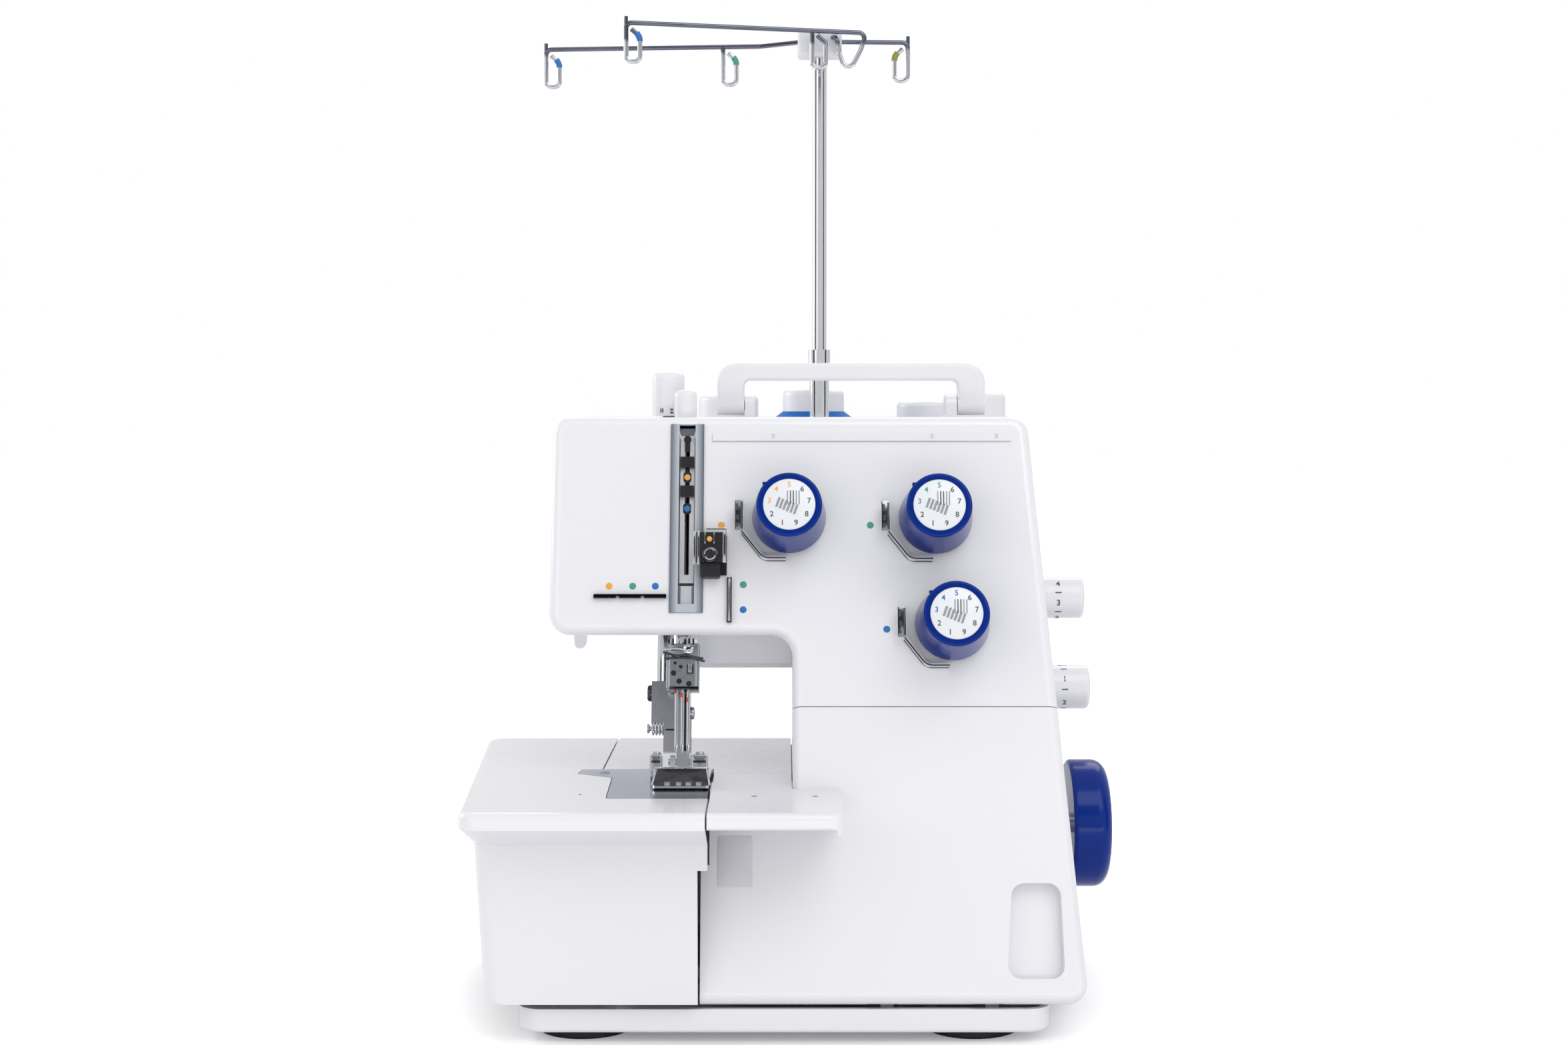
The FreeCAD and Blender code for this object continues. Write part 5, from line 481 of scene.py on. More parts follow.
# Dark marks on the hook plate, painted dark reflection and shade of its chrome: across, up, half height
HOOK_MARKS = [(1.2, 4.6, 1.6), (1.6, -0.4, 1.2), (1.3, -4.2, 1.0)]
GUARD_LIFTS = (("front", 6.9), ("back", 0.4))
GUARD_START_X = -22.4
GUARD_START_UP = -7.0
GUARD_KNEE_X = -12.4
GUARD_FOOT_UP = -20.0
GUARD_END_X = -1.6
BEFORE_KNEE = [-1.8, 2.4, 0]
AFTER_KNEE = [3.0, 0, 0]
GUARD_WIRE = 0.34
KNEE_SHARES = np.linspace(0, 1, 8)[1:-1, None]
for name, x, rise, tint in DIALS:
    up = (HEAD_BOTTOM + rise - BED) / math.cos(TILT)
    body = "dial_" + name
    revolve(f"dial_face_{name}", FACE_PROFILE, on_panel(x, up, FACE_LIFT), body, FACE_WHITE,
            around=64)
    for number in range(1, 10):
        angle = math.radians(FIRST_NUMBER_ANGLE - NUMBER_STEP * (number - 1))
        finish = tint if number in TINTED_NUMBERS else DARK_PRINT_AND_SHADE
        spot = on_panel(x + NUMBER_RADIUS * math.cos(angle), up + NUMBER_RADIUS * math.sin(angle), PRINT_LIFT)
        lettering(f"number_{name}_{number}", str(number), NUMBER_SIZE, spot, body, finish)
    for count, place in enumerate(STROKES):
        finish = DARK_PRINT_AND_SHADE if count in DARK_STROKES else PRINT_GREY
        slab(f"strokes_{name}_{count}", STROKE_SIZE, on_panel(x + place, up + STROKE_UP, PRINT_LIFT), body,
             finish, corner=0.1, edge=0.03)
    for count, place in enumerate(HATCHES):
        spot = on_panel(x + place, up + HATCH_UP - HATCH_FALL * place, PRINT_LIFT)
        slab(f"hatch_{name}_{count}", HATCH_SIZE, spot, body, PRINT_GREY, corner=0.2, edge=0.03,
             shear=HATCH_SHEAR)
    spot = on_panel(x + NOTCH_RADIUS * math.cos(NOTCH_ANGLE), up + NOTCH_RADIUS * math.sin(NOTCH_ANGLE),
                    NOTCH_LIFT)
    slab(f"dial_notch_{name}", NOTCH_SIZE, spot, body, NAVY, corner=0.3, edge=0.3)
    hook = x + HOOK_LEFT
    slab(f"hook_face_{name}", HOOK_FACE_SIZE, on_panel(hook + HOOK_FACE_X, up + HOOK_FACE_UP, HOOK_LIFT),
         "machine", GUARD, edge=0.03)
    # A dark line and marks on the hook plate paint in the dark reflection and shade of its chrome
    slab(f"hook_reflection_line_{name}", HOOK_LINE_SIZE,
         on_panel(hook + HOOK_LINE_X, up + HOOK_LINE_UP, HOOK_REFLECTION_LIFT), "machine", DARK_PRINT_AND_SHADE,
         corner=0.1, edge=0.03)
    for count, (across, above, half) in enumerate(HOOK_MARKS):
        slab(f"hook_reflection_mark_{name}_{count}", (HOOK_MARK_HALF, half, HOOK_MARK_THICK),
             on_panel(hook + across, up + above, HOOK_REFLECTION_LIFT), "machine", DARK_PRINT_AND_SHADE, corner=0.2,
             edge=0.03)
    for label, lift in GUARD_LIFTS:
        knee = np.array([x + GUARD_KNEE_X, up + GUARD_FOOT_UP, lift])
        start = np.linspace([x + GUARD_START_X, up + GUARD_START_UP, lift], knee + BEFORE_KNEE, 10)
        turn = curve(start[-1], knee, knee + AFTER_KNEE, KNEE_SHARES)
        tail = np.linspace(knee + AFTER_KNEE, [x + GUARD_END_X, up + GUARD_FOOT_UP, lift], 8)
        tube(f"guard_edge_{name}_{label}", np.vstack([start, turn, tail]), GUARD_WIRE, (0, 0, 1),
             on_panel(0, 0), "machine", CHROME_PAINTED_DARK)

# Take-up slot: knob and dots on the lever, prongs and fork of the lining
LEVER_LIFT = -2.2
LEVER_DOT_RADIUS = 1.5
LEVER_DOT_THICK = 0.4
LEVER_DOTS = [("yellow", 148.8, ORANGE), ("blue", 133.4, BLUE)]
LEVER_MARK_SIZE = (1.9, 2.6, 0.25)
LEVER_MARK_LIFT = -2.25
LEVER_KNOB_SIZE = (1.25, 3.6, 1.6)
LEVER_KNOB_UP = 164.6
KNOB_HEAD_RADIUS = 1.75
KNOB_HEAD_THICK = 1.9
KNOB_HEAD_UP = 167.4
FORK_SIZE = (3.5, 5.6, 1.6)
FORK_UP = 90.0
FORK_LIFT = -1.95
FORK_LINE_SIZE = (0.28, 5.4, 0.15)
FORK_LINE_X = 2.9
FORK_LINE_LIFT = -0.4
# Ends of a prong: distance from the slot's middle, up, lift
PRONG_TOP = (5.3, 174.0, 0.6)
PRONG_TIP = (3.2, 167.6, -0.4)
PRONG_WIRE = 0.55
for colour, up, finish in LEVER_DOTS:
    revolve(f"takeup_dot_{colour}", dome(LEVER_DOT_RADIUS, LEVER_DOT_THICK), on_panel(SLOT_X, up, LEVER_LIFT),
            "takeup", finish)
slab("takeup_knob", LEVER_KNOB_SIZE, on_panel(SLOT_X, LEVER_KNOB_UP, LEVER_LIFT), "takeup", BLACK,
     corner=0.8, edge=0.4)
revolve("takeup_knob_head", dome(KNOB_HEAD_RADIUS, KNOB_HEAD_THICK),
        on_panel(SLOT_X, KNOB_HEAD_UP, LEVER_LIFT), "takeup", BLACK)
for count, (colour, up, finish) in enumerate(LEVER_DOTS):
    slab(f"takeup_mark_{count}", LEVER_MARK_SIZE, on_panel(SLOT_X, up, LEVER_MARK_LIFT), "takeup", BLACK,
         corner=1.2, edge=0.1)
slab("takeup_fork", FORK_SIZE, on_panel(SLOT_X, FORK_UP, FORK_LIFT), "machine", SLOT_GREY_SIDE_SHADE,
     edge=0.3)
for label, side in (("left", -1), ("right", 1)):
    # Dark lines along the fork's two sides: painted shade at its edges
    slab(f"fork_shade_line_{label}", FORK_LINE_SIZE, on_panel(SLOT_X + side * FORK_LINE_X, FORK_UP, FORK_LINE_LIFT),
         "machine", DARK_PRINT_AND_SHADE, corner=0.1, edge=0.05)
    prong = np.linspace([SLOT_X + side * PRONG_TOP[0], *PRONG_TOP[1:]],
                        [SLOT_X + side * PRONG_TIP[0], *PRONG_TIP[1:]], 12)
    tube(f"slot_prong_{label}", prong, PRONG_WIRE, (0, 0, 1), on_panel(0, 0), "machine", SLOT_GREY_SIDE_SHADE)

# Pre-tension unit beside the slot
UNIT_X = -34.6
UNIT_BLOCK_SIZE = (4.7, 9.8, 6.2)
UNIT_BLOCK_UP = 108.2
UNIT_BLOCK_LIFT = 1.4
PLATE_LIFT = 9.15
STRIP_LIFT = 8.3
# Plates: name, size (half width, half height, thickness), place (x, up, lift), corner, edge
UNIT_PLATES = [("top", (5.1, 0.7, 1.0), (-32.1, 120.7, PLATE_LIFT), 0.4, 0.3),
               ("side", (0.85, 8.2, 1.0), (-27.9, 112.9, PLATE_LIFT), 0.4, 0.3),
               ("strip_0", (0.5, 8.0, 1.0), (-42.0, 112.0, STRIP_LIFT), 0.2, 0.15),
               ("strip_1", (0.5, 8.0, 1.0), (-40.1, 112.0, STRIP_LIFT), 0.2, 0.15),
               ("line_0", (0.25, 2.6, 0.4), (-37.0, 116.5, PLATE_LIFT), 0.1, 0.05),
               ("line_1", (0.25, 2.6, 0.4), (-32.8, 116.5, PLATE_LIFT), 0.1, 0.05)]
UNIT_SCREW_UP = 108.6
UNIT_SCREW_RADIUS = 2.9
UNIT_SCREW_THICK = 2.0
UNIT_RIM_RADIUS = 3.8
UNIT_RIM_THICK = 1.4
BEAD_X = -34.9
BEAD_UP = 116.0
BEAD_RADIUS = 1.3
BEAD_THICK = 1.6
UPRIGHT_SIZE = (0.65, 10.2, 0.15)
UPRIGHT_X = -25.7
UPRIGHT_UP = 88.5
UPRIGHT_LIFT = 2.15
slab("pretension_block", UNIT_BLOCK_SIZE, on_panel(UNIT_X, UNIT_BLOCK_UP, UNIT_BLOCK_LIFT), "machine", BLACK,
     corner=1.2, edge=0.6)
for name, size, place, corner, edge in UNIT_PLATES:
    slab("pretension_" + name, size, on_panel(*place), "machine", CHROME, corner=corner, edge=edge)
# The dark rim and the wide black slot of this screw paint in the dark reflection between its two highlights
unit_screw = on_panel(UNIT_X, UNIT_SCREW_UP, PLATE_LIFT)
revolve("pretension_screw_rim", dome(UNIT_RIM_RADIUS, UNIT_RIM_THICK), unit_screw, "machine", CHROME_PAINTED_DARK)
screw_head("pretension_screw", UNIT_SCREW_RADIUS, UNIT_SCREW_THICK, unit_screw, "machine", CHROME, turn=1.45,
           slit=0.3)
revolve("pretension_bead", dome(BEAD_RADIUS, BEAD_THICK), on_panel(BEAD_X, BEAD_UP, PLATE_LIFT), "machine",
        ORANGE)
slab("upright_face", UPRIGHT_SIZE, on_panel(UPRIGHT_X, UPRIGHT_UP, UPRIGHT_LIFT), "machine", SATIN,
     edge=0.05)

# Needle clamp and the wire guides over it, with places (x, deep, up) from the needle bar's foot
CLAMP_FACE = -6.0
COLLAR_FACE = -5.0
NEEDLE_FRONT = -3.9
HOLE_DEPTH = 0.15
# Holes in the clamp, drawn as black discs of painted shade: x, up, radius
CLAMP_HOLES = [(-4.2, 50.8, 1.3), (-1.5, 46.9, 1.3), (3.1, 45.7, 1.3), (-3.5, 55.6, 0.8), (-0.8, 53.8, 0.9)]
WINDOW_SIZE = (1.6, 2.3, 0.3)
WINDOW_PLACE = (3.6, CLAMP_FACE, 52.6)
WINDOW_FLOOR_SIZE = (1.0, 2.0, 0.2)
WINDOW_FLOOR_PLACE = (3.6, CLAMP_FACE - 0.2, 53.0)
CLAMP_FOOT_SIZE = (7.0, 0.8, 12.2)
CLAMP_FOOT_PLACE = (0.8, 6.0, 43.6)
COLLAR_SIZE = (7.0, 3.6, 9.0)
COLLAR_PLACE = (1.0, 4.0, 61.6)
TEETH_X = (-6.6, -4.6, 1.2, 3.0, 5.0)
TOOTH_SIZE = (0.45, 1.2, 0.5)
TOOTH_UP = 66.2
GUIDE_SCREW_RADIUS = 2.5
GUIDE_SCREW_THICK = 1.6
GUIDE_SCREW_PLACE = (2.6, COLLAR_FACE, 62.4)
SPAN = np.linspace(-1, 1, 40)
WIRE_RADIUS = 0.55
WIRE_LIFT = 0.9
WIRE_BULGE = 0.7
# Angles in radians at the end of a wire, whose cosines shape its sag and its bulge
SAG_ANGLE = 3
BULGE_ANGLE = 1.57
# Guide wires: middle, half length, up, lean, sag
WIRES = [(-2.6, 6.6, 62.0, -0.06, 0.3), (-3.2, 6.0, 59.6, -0.1, -0.5), (0.6, 9.2, 58.4, 0.02, 0.8),
         (4.5, 6.0, 57.6, -0.14, 0.4)]
NEEDLE_MARK_SIZE = (0.5, 1.1, 0.25)
# Red marks on the needles: x, up
NEEDLE_MARKS = [(-3.3, 42.4), (-0.6, 40.6), (2.4, 38.4)]
for count, (x, up, radius) in enumerate(CLAMP_HOLES):
    revolve(f"clamp_hole_{count}", dome(radius, HOLE_DEPTH), by_needle(x, CLAMP_FACE, up), "needle_drive",
            BLACK)
slab("clamp_window", WINDOW_SIZE, by_needle(*WINDOW_PLACE), "needle_drive", CHROME_PAINTED_DARK)
slab("clamp_window_floor", WINDOW_FLOOR_SIZE, by_needle(*WINDOW_FLOOR_PLACE), "needle_drive", STEEL)
slab("clamp_foot", CLAMP_FOOT_SIZE, by_needle(*CLAMP_FOOT_PLACE), "needle_drive", CHROME_PAINTED_DARK,
     edge=0.2)
slab("guide_collar", COLLAR_SIZE, by_needle(*COLLAR_PLACE), "needle_drive", STEEL, corner=1.2,
     edge=0.8)
for count, x in enumerate(TEETH_X):
    slab(f"collar_tooth_{count}", TOOTH_SIZE, by_needle(x, COLLAR_FACE, TOOTH_UP), "needle_drive", BLACK,
         corner=0.2)
screw_head("guide_screw", GUIDE_SCREW_RADIUS, GUIDE_SCREW_THICK, by_needle(*GUIDE_SCREW_PLACE),
           "needle_drive", CHROME)
for count, (middle, half, up, lean, sag) in enumerate(WIRES):
    path = np.stack([middle + half * SPAN, up + lean * half * SPAN + sag * np.cos(SAG_ANGLE * SPAN),
                     WIRE_LIFT + WIRE_BULGE * np.cos(BULGE_ANGLE * SPAN)], -1)
    tube(f"guide_wire_{count}", path, WIRE_RADIUS, (0, 0, 1), by_needle(0, COLLAR_FACE, 0), "needle_drive",
         CHROME if count == 0 else CHROME_PAINTED_DARK)
for count, (x, up) in enumerate(NEEDLE_MARKS):
    slab(f"needle_mark_{count}", NEEDLE_MARK_SIZE, by_needle(x, NEEDLE_FRONT, up), "needle_drive", RED,
         corner=0.2, edge=0.1)

# Foot holder: screws, spring, gap, with places (x, deep, up) from the needle bar's foot
HOLDER_FACE = 7.5
LEFT_SCREW_PLACE = (-15.2, 14.0, 44.0)
LEFT_SCREW_RADIUS = 4.0
LEFT_SCREW_THICK = 2.4
RIGHT_SCREW_PLACE = (3.2, 11.0, 34.0)
RIGHT_SCREW_RADIUS = 3.1
RIGHT_SCREW_THICK = 2.0
SPRING_PLACE = (-8.0, 10.5, 26.5)
COIL = np.linspace(0, 1, 140)
COIL_RADIUS = 3.0
COIL_TURNS = 4.0
COIL_WIRE = 0.42
COIL_START = -7.6
COIL_LENGTH = 6.2
PIN_PROFILE = [(1.2, -9.4), (2.2, -9.3), (2.2, -8.2), (1.2, -8.0), (1.2, 0.0)]
GAP_SIZE = (0.65, 13.5, 0.3)
GAP_PLACE = (1.0, HOLDER_FACE, 29.0)
SLIT_SIZE = (2.2, 0.45, 0.3)
SLIT_PLACE = (-6.4, HOLDER_FACE, 25.6)
left_screw = placer(needle_spot(*LEFT_SCREW_PLACE), SLOPE_UP, SLOPE_IN, -ACROSS)
screw_head("holder_screw_left", LEFT_SCREW_RADIUS, LEFT_SCREW_THICK, left_screw, "presser", CHROME_PAINTED_DARK)
right_screw = placer(needle_spot(*RIGHT_SCREW_PLACE), SLOPE_IN, SLOPE_UP, ACROSS)
screw_head("holder_screw_right", RIGHT_SCREW_RADIUS, RIGHT_SCREW_THICK, right_screw, "presser", STEEL)
coil_angle = 2 * np.pi * COIL_TURNS * COIL
coil_path = np.stack([COIL_RADIUS * np.cos(coil_angle), COIL_RADIUS * np.sin(coil_angle),
                      COIL_START + COIL_LENGTH * COIL], -1)
spring_place = placer(needle_spot(*SPRING_PLACE), SLOPE_IN, SLOPE_UP, ACROSS)
tube("holder_spring", coil_path, COIL_WIRE, (0, 0, 1), spring_place, "presser", CHROME)
revolve("spring_pin", PIN_PROFILE, spring_place, "presser", STEEL)
# A black strip for the gap between the holder's plates and a dark slit: painted shade
slab("holder_gap_shade", GAP_SIZE, by_needle(*GAP_PLACE), "presser", BLACK, corner=0.3, edge=0.1)
slab("holder_slit_shade", SLIT_SIZE, by_needle(*SLIT_PLACE), "presser", CHROME_PAINTED_DARK, corner=0.2, edge=0.1)

# Presser foot: dark toe, light teeth in it and side blocks with screws
TOE_RUN = 10.0
TOE_CLIMB = 6.4
TOE_FRONT = np.array([-48.0, 56.5, BED + 2.1])
TOE_RISE = np.array([0.0, TOE_RUN, TOE_CLIMB]) / math.hypot(TOE_RUN, TOE_CLIMB)
TOE_OUT = np.cross(ACROSS, TOE_RISE)
TOE_FACE_SIZE = (12.4, 5.7, 0.25)
TOE_FACE_X = 0.6
TOE_FACE_UP = 5.9
TOE_WINDOW_SIZE = (5.2, 1.9, 0.15)
TOE_WINDOW_X = 0.9
TOE_WINDOW_UP = 9.0
TOE_DOT_RADIUS = 0.7
TOE_DOT_THICK = 0.2
TOE_DOT_UP = 5.6
TOE_EDGE_SIZE = (0.45, 5.6, 0.5)
TOE_EDGE_X = 12.5
TOE_EDGE_LEAN = -0.14
TOE_TEETH_X = (-5.7, -0.4, 4.1, 8.8)
TOE_TOOTH_SIZE = (1.25, 1.2, 0.3)
TOE_TOOTH_UP = 1.4
# Side blocks: name, x, half width
FOOT_BLOCKS = [("left", -12.4, 2.9), ("right", 8.2, 3.8)]
BLOCK_HALF = 5.6
BLOCK_THICK = 9.0
BLOCK_DEEP = 9.0
BLOCK_UP = 7.4
BLOCK_SLIT_INSET = 0.8
BLOCK_SLIT_HALF = 0.5
BLOCK_SLIT_THICK = 0.2
BLOCK_SLIT_DEEP = -0.1
BLOCK_SLIT_UP = 9.6
STEP_INSET = 0.3
STEP_HALF = 1.5
STEP_THICK = 1.8
STEP_DEEP = 0.2
STEP_UP = 3.6
FOOT_SCREW_DEEP = 5.0
FOOT_SCREW_UP = 13.0
FOOT_SCREW_RADIUS = 2.1
FOOT_SCREW_THICK = 1.6


def on_toe(x, up):
    """Frame on the sloping face of the toe, up from its front edge."""
    return placer(TOE_FRONT + x * ACROSS + up * TOE_RISE, ACROSS, TOE_RISE, TOE_OUT)


slab("toe_face", TOE_FACE_SIZE, on_toe(TOE_FACE_X, TOE_FACE_UP), "foot", GLOSS_BLACK, corner=1.2, edge=0.1,
     taper=-0.06)
slab("toe_window", TOE_WINDOW_SIZE, on_toe(TOE_WINDOW_X, TOE_WINDOW_UP), "foot", BLACK, edge=0.05)
revolve("toe_dot", dome(TOE_DOT_RADIUS, TOE_DOT_THICK), on_toe(TOE_FACE_X, TOE_DOT_UP), "foot", FACE_WHITE)
# Chrome strips along the toe's sides: painted highlights on the edges of the glossy black toe
for label, side in (("left", -1), ("right", 1)):
    slab(f"toe_edge_highlight_{label}", TOE_EDGE_SIZE, on_toe(TOE_FACE_X + side * TOE_EDGE_X, TOE_FACE_UP), "foot",
         CHROME, corner=0.2, shear=TOE_EDGE_LEAN * side)
for count, x in enumerate(TOE_TEETH_X):
    slab(f"toe_tooth_{count}", TOE_TOOTH_SIZE, on_toe(x, TOE_TOOTH_UP), "foot", STEEL, corner=0.3,
         edge=0.1)
for label, x, half in FOOT_BLOCKS:
    slab(f"foot_block_{label}", (half, BLOCK_HALF, BLOCK_THICK), by_needle(x, BLOCK_DEEP, BLOCK_UP), "foot",
         SATIN, corner=0.8, edge=0.6)
    # A black slit on each block, painted shade
    slab(f"foot_slit_shade_{label}", (half - BLOCK_SLIT_INSET, BLOCK_SLIT_HALF, BLOCK_SLIT_THICK),
         by_needle(x, BLOCK_SLIT_DEEP, BLOCK_SLIT_UP), "foot", BLACK, corner=0.2, edge=0.05)
    slab(f"foot_step_{label}", (half - STEP_INSET, STEP_HALF, STEP_THICK), by_needle(x, STEP_DEEP, STEP_UP),
         "foot", STEEL, edge=0.3)
    top = placer(needle_spot(x, FOOT_SCREW_DEEP, FOOT_SCREW_UP), ACROSS, SLOPE_IN, SLOPE_UP)
    screw_head(f"foot_screw_{label}", FOOT_SCREW_RADIUS, FOOT_SCREW_THICK, top, "foot", STEEL)

# Screws and marks on the bed and the cover
PLATE_SCREW_PLACE = (-86.6, 104.5, BED - 0.05)
PLATE_SCREW_RADIUS = 3.0
PLATE_SCREW_THICK = 0.35
BED_MARK_THICK = 0.1
TABLE_MARK_PLACE = (-92.6, 46.1, BED)
TABLE_MARK_RADIUS = 0.7
LEDGE_MARKS_X = (-13.5, 14.2)
LEDGE_MARK_Y = 42.2
LEDGE_MARK_RADIUS = 1.4
RECESS_SIZE = (8.0, 11.6, 0.25)
RECESS_X = -22.4
RECESS_UP = -33.0
screw_head("plate_screw", PLATE_SCREW_RADIUS, PLATE_SCREW_THICK, upright(*PLATE_SCREW_PLACE), "machine",
           STEEL)
revolve("table_mark", dome(TABLE_MARK_RADIUS, BED_MARK_THICK), upright(*TABLE_MARK_PLACE), "table",
        DARK_PRINT_AND_SHADE)
for count, x in enumerate(LEDGE_MARKS_X):
    revolve(f"ledge_mark_{count}", dome(LEDGE_MARK_RADIUS, BED_MARK_THICK), upright(x, LEDGE_MARK_Y, BED),
            "cover", PRINT_GREY)
# Grey slab on the cover under the ledge: painted shade of the recess there
slab("cover_recess", RECESS_SIZE, on_panel(RECESS_X, RECESS_UP), "cover", RECESS_SHADE_GREY,
     corner=0.8, edge=0.1)

# Marks on the side knobs and the pressure dial
KNOB_Y = 172.1
KNOB_NUMBER_SIZE = 4.2
# Knobs: name, x, z, radius, numbers with their angles
KNOBS = [("length", 139.3, 190.7, 10.65, [("4", 46), ("3", -10), ("2", -66)]),
         ("ratio", 142.8, 144.7, 11.25, [("1", 28), ("2", -38), ("0.7", 88)])]
TICK_SIZE = (1.6, 0.3, 0.1)
TICK_SUNK = 0.02
TICK_AFTER = 27


def round_knob(x, z, radius, angle):
    """Frame on the front of a knob that lies along X, turned round it by an angle from straight ahead."""
    out = -math.cos(angle) * DEEP + math.sin(angle) * HIGH
    up = math.sin(angle) * DEEP + math.cos(angle) * HIGH
    return placer(np.array([x, KNOB_Y, z]) + radius * out, ACROSS, up, out)


for name, x, z, radius, marks in KNOBS:
    body = name + "_knob"
    for count, (words, angle) in enumerate(marks):
        spot = round_knob(x, z, radius, math.radians(angle))
        lettering(f"knob_{name}_{count}", words, KNOB_NUMBER_SIZE, spot, body, DARK_PRINT_AND_SHADE, wrap=radius)
        spot = round_knob(x, z, radius - TICK_SUNK, math.radians(angle - TICK_AFTER))
        slab(f"knob_{name}_tick_{count}", TICK_SIZE, spot, body, DARK_PRINT_AND_SHADE, corner=0.1, edge=0.03)
PRESSURE_X = -57.3
PRESSURE_Y = 144.7
PRESSURE_RADIUS = 7.9
PRESSURE_MARK_SUNK = 0.03
PRESSURE_MARK_THICK = 0.12
# Marks on the pressure dial: angle, z, half width, half height
PRESSURE_MARKS = [(-18, 286.4, 0.25, 1.2), (-26, 286.4, 0.25, 1.2), (-22, 286.4, 0.6, 0.25),
                  (14, 286.9, 0.7, 0.45), (14, 285.4, 0.7, 0.45)]
for count, (angle, z, half_width, half_height) in enumerate(PRESSURE_MARKS):
    turn = math.radians(angle)
    out = math.sin(turn) * ACROSS - math.cos(turn) * DEEP
    side = math.cos(turn) * ACROSS + math.sin(turn) * DEEP
    middle = np.array([PRESSURE_X, PRESSURE_Y, z])
    spot = placer(middle + (PRESSURE_RADIUS - PRESSURE_MARK_SUNK) * out, side, HIGH, out)
    slab(f"pressure_mark_{count}", (half_width, half_height, PRESSURE_MARK_THICK), spot, "pressure_knob",
         DARK_PRINT_AND_SHADE, corner=0.1, edge=0.03)

# Antenna sleeves on the shoulders of the hooks
REAR_Z = 483.0
FRONT_Z = 488.9
EYE_WIDTH = 7.2
EYE_SHOULDER = 7.3
SLEEVE_REACH = 2.4
SLEEVE_RADIUS = 1.6
SHOULDER_ACROSS = -0.68
SHOULDER_UP = 0.73
SLEEVE_SHARES = np.linspace(0, 1, 14)[:, None]
# Hooks: name, x and y from the pole, z of the arm, side the eye leans to, colour
HOOKS = [("rear_left", -148.7, 24.0, REAR_Z, 1, BLUE), ("rear_middle", -52.0, 15.4, REAR_Z, 1, GREEN),
         ("rear_right", 47.2, 2.0, REAR_Z, -1, OLIVE), ("front_left", -101.5, -24.0, FRONT_Z, 1, BLUE)]
for name, x, y, z, lean, finish in HOOKS:
    knee = np.array([POLE[0] + x + lean * EYE_WIDTH, POLE[1] + y, z - EYE_SHOULDER])
    start = knee + SLEEVE_REACH * np.array([SHOULDER_ACROSS * lean, 0.0, SHOULDER_UP])
    end = knee - SLEEVE_REACH * HIGH
    path = curve(start, knee, end, SLEEVE_SHARES)
    tube(f"sleeve_{name}", path, SLEEVE_RADIUS, (0, 1, 0), upright(0, 0, 0), "antenna", finish)

# Stage: a pale floor that fades to white for the camera, soft lamps and dark cards that reflections see
FADE_START = 0.14
FADE_END = 0.36
FADE_NEAR = 0.18
FADE_FAR = 0.9
floor_material = material("floor", (0.86, 0.86, 0.87), (0.84, 0.84, 0.85), scale=3.0, rough=0.6, spread=0.05,
                          bump=0.0)
tree = floor_material.node_tree
light_path = tree.nodes.new("ShaderNodeLightPath")
ground = tree.nodes.new("ShaderNodeTexCoord")
distance = tree.nodes.new("ShaderNodeVectorMath")
distance.operation = "LENGTH"
fade = tree.nodes.new("ShaderNodeMapRange")
fade.inputs["From Min"].default_value = FADE_START
fade.inputs["From Max"].default_value = FADE_END
fade.inputs["To Min"].default_value = FADE_NEAR
fade.inputs["To Max"].default_value = FADE_FAR
lift = tree.nodes.new("ShaderNodeMath")
lift.operation = "MULTIPLY"
tree.links.new(ground.outputs["Object"], distance.inputs[0])
tree.links.new(distance.outputs["Value"], fade.inputs["Value"])
tree.links.new(fade.outputs["Result"], lift.inputs[0])
tree.links.new(light_path.outputs["Is Camera Ray"], lift.inputs[1])
tree.nodes["Principled BSDF"].inputs["Emission Color"].default_value = (1, 1, 1, 1)
tree.links.new(lift.outputs["Value"], tree.nodes["Principled BSDF"].inputs["Emission Strength"])


def stage_sheet(name, centre, first, second, finish):
    """Flat four-sided sheet on two half directions, as part of the studio."""
    centre, first, second = (np.array(value, float) for value in (centre, first, second))
    points = [centre - first - second, centre + first - second,
              centre + first + second, centre - first + second]
    mesh = bpy.data.meshes.new(name)
    mesh.from_pydata(np.array(points).tolist(), [], [[0, 1, 2, 3]])
    mesh.materials.append(finish)
    sheet = bpy.data.objects.new(name, mesh)
    bpy.context.scene.collection.objects.link(sheet)
    return sheet


stage_sheet("floor", (0, 2.0, 0), (6, 0, 0), (0, 6, 0), floor_material)
card_material = material("card", (0.02, 0.02, 0.025), (0.03, 0.03, 0.035), scale=5.0, rough=0.8, spread=0.05,
                         bump=0.0)
# Cards: name, centre and two half directions, in metres
CARDS = [("card_left", (-1.1, -0.6, 0.5), (0.1, 0.3, 0), (0, 0, 0.5)),
         ("card_right", (1.2, -0.4, 0.5), (-0.1, 0.25, 0), (0, 0, 0.5)),
         ("card_high", (0.03, -1.3, 0.9), (0.45, 0, 0), (0, 0.12, 0.22)),
         ("card_low", (0.0, -1.6, 0.16), (0.9, 0, 0), (0, 0, 0.1))]
for name, centre, first, second in CARDS:
    card = stage_sheet(name, centre, first, second, card_material)
    card.visible_camera = False
    card.visible_shadow = False
    card.visible_diffuse = False


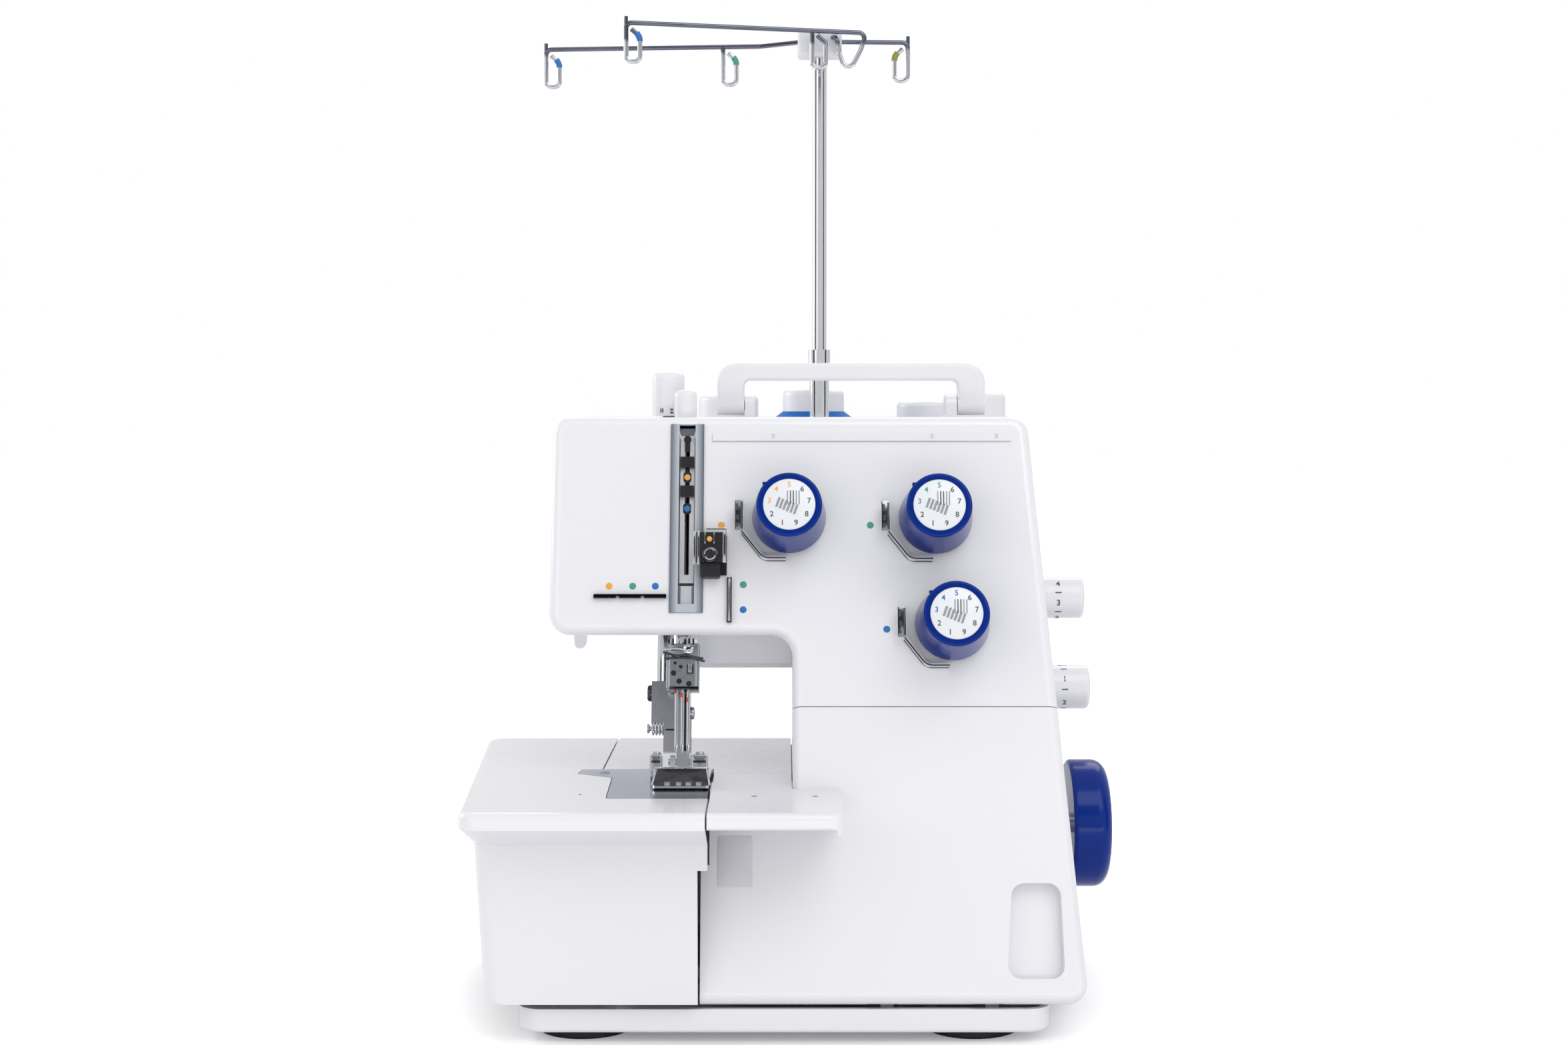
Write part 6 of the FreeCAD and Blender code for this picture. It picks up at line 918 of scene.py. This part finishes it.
def lamp(name, place, aim, size, power):
    """Rectangular area lamp at a place, turned to its aim, in metres and watts."""
    data = bpy.data.lights.new(name, "AREA")
    data.shape = "RECTANGLE"
    data.size, data.size_y = size
    data.energy = power
    light = bpy.data.objects.new(name, data)
    light.location = place
    direction = np.array(aim, float) - np.array(place, float)
    light.rotation_euler = Vector(direction).to_track_quat("-Z", "Y").to_euler()
    bpy.context.scene.collection.objects.link(light)


lamp("key", place=(0.6, -1.15, 1.5), aim=(0, 0, 0.2), size=(1.2, 1.2), power=9.0)
lamp("fill", place=(-1.2, -1.2, 0.9), aim=(0, 0, 0.2), size=(1.0, 1.2), power=2.6)
lamp("back", place=(0.2, 1.3, 1.3), aim=(0, 0.1, 0.2), size=(1.6, 0.8), power=8.0)
lamp("side", place=(-1.0, 0.5, 0.55), aim=(-0.02, 0.0, 0.12), size=(0.6, 0.5), power=3.5)
lamp("low", place=(0.2, -1.0, 0.06), aim=(-0.05, 0.05, 0.18), size=(1.4, 0.1), power=1.1)

# World: a white backdrop for the camera, a little dimmer as a source of light
SKY_LIGHT = 0.72
SKY_SEEN = 1.0
world = bpy.data.worlds.new("studio")
bpy.context.scene.world = world
world.use_nodes = True
tree = world.node_tree
background = tree.nodes["Background"]
background.inputs["Color"].default_value = (1, 1, 1, 1)
light_path = tree.nodes.new("ShaderNodeLightPath")
strength = tree.nodes.new("ShaderNodeMapRange")
strength.inputs["To Min"].default_value = SKY_LIGHT
strength.inputs["To Max"].default_value = SKY_SEEN
tree.links.new(light_path.outputs["Is Camera Ray"], strength.inputs["Value"])
tree.links.new(strength.outputs["Result"], background.inputs["Strength"])

# Camera, from the perspective of the photograph
SENSOR_WIDTH = 36.0
FOCAL_LENGTH = 48.214
CAMERA_SPOT = np.array([0.0, -900.0, 285.724])
LOOKING_DOWN = 3.0166
camera_data = bpy.data.cameras.new("camera")
camera_data.sensor_width = SENSOR_WIDTH
camera_data.lens = FOCAL_LENGTH
camera = bpy.data.objects.new("camera", camera_data)
camera.location = ZERO + CAMERA_SPOT * MM
camera.rotation_euler = (math.radians(90.0 - LOOKING_DOWN), 0, 0)
bpy.context.scene.collection.objects.link(camera)
bpy.context.scene.camera = camera
bpy.context.scene.view_settings.view_transform = "Standard"
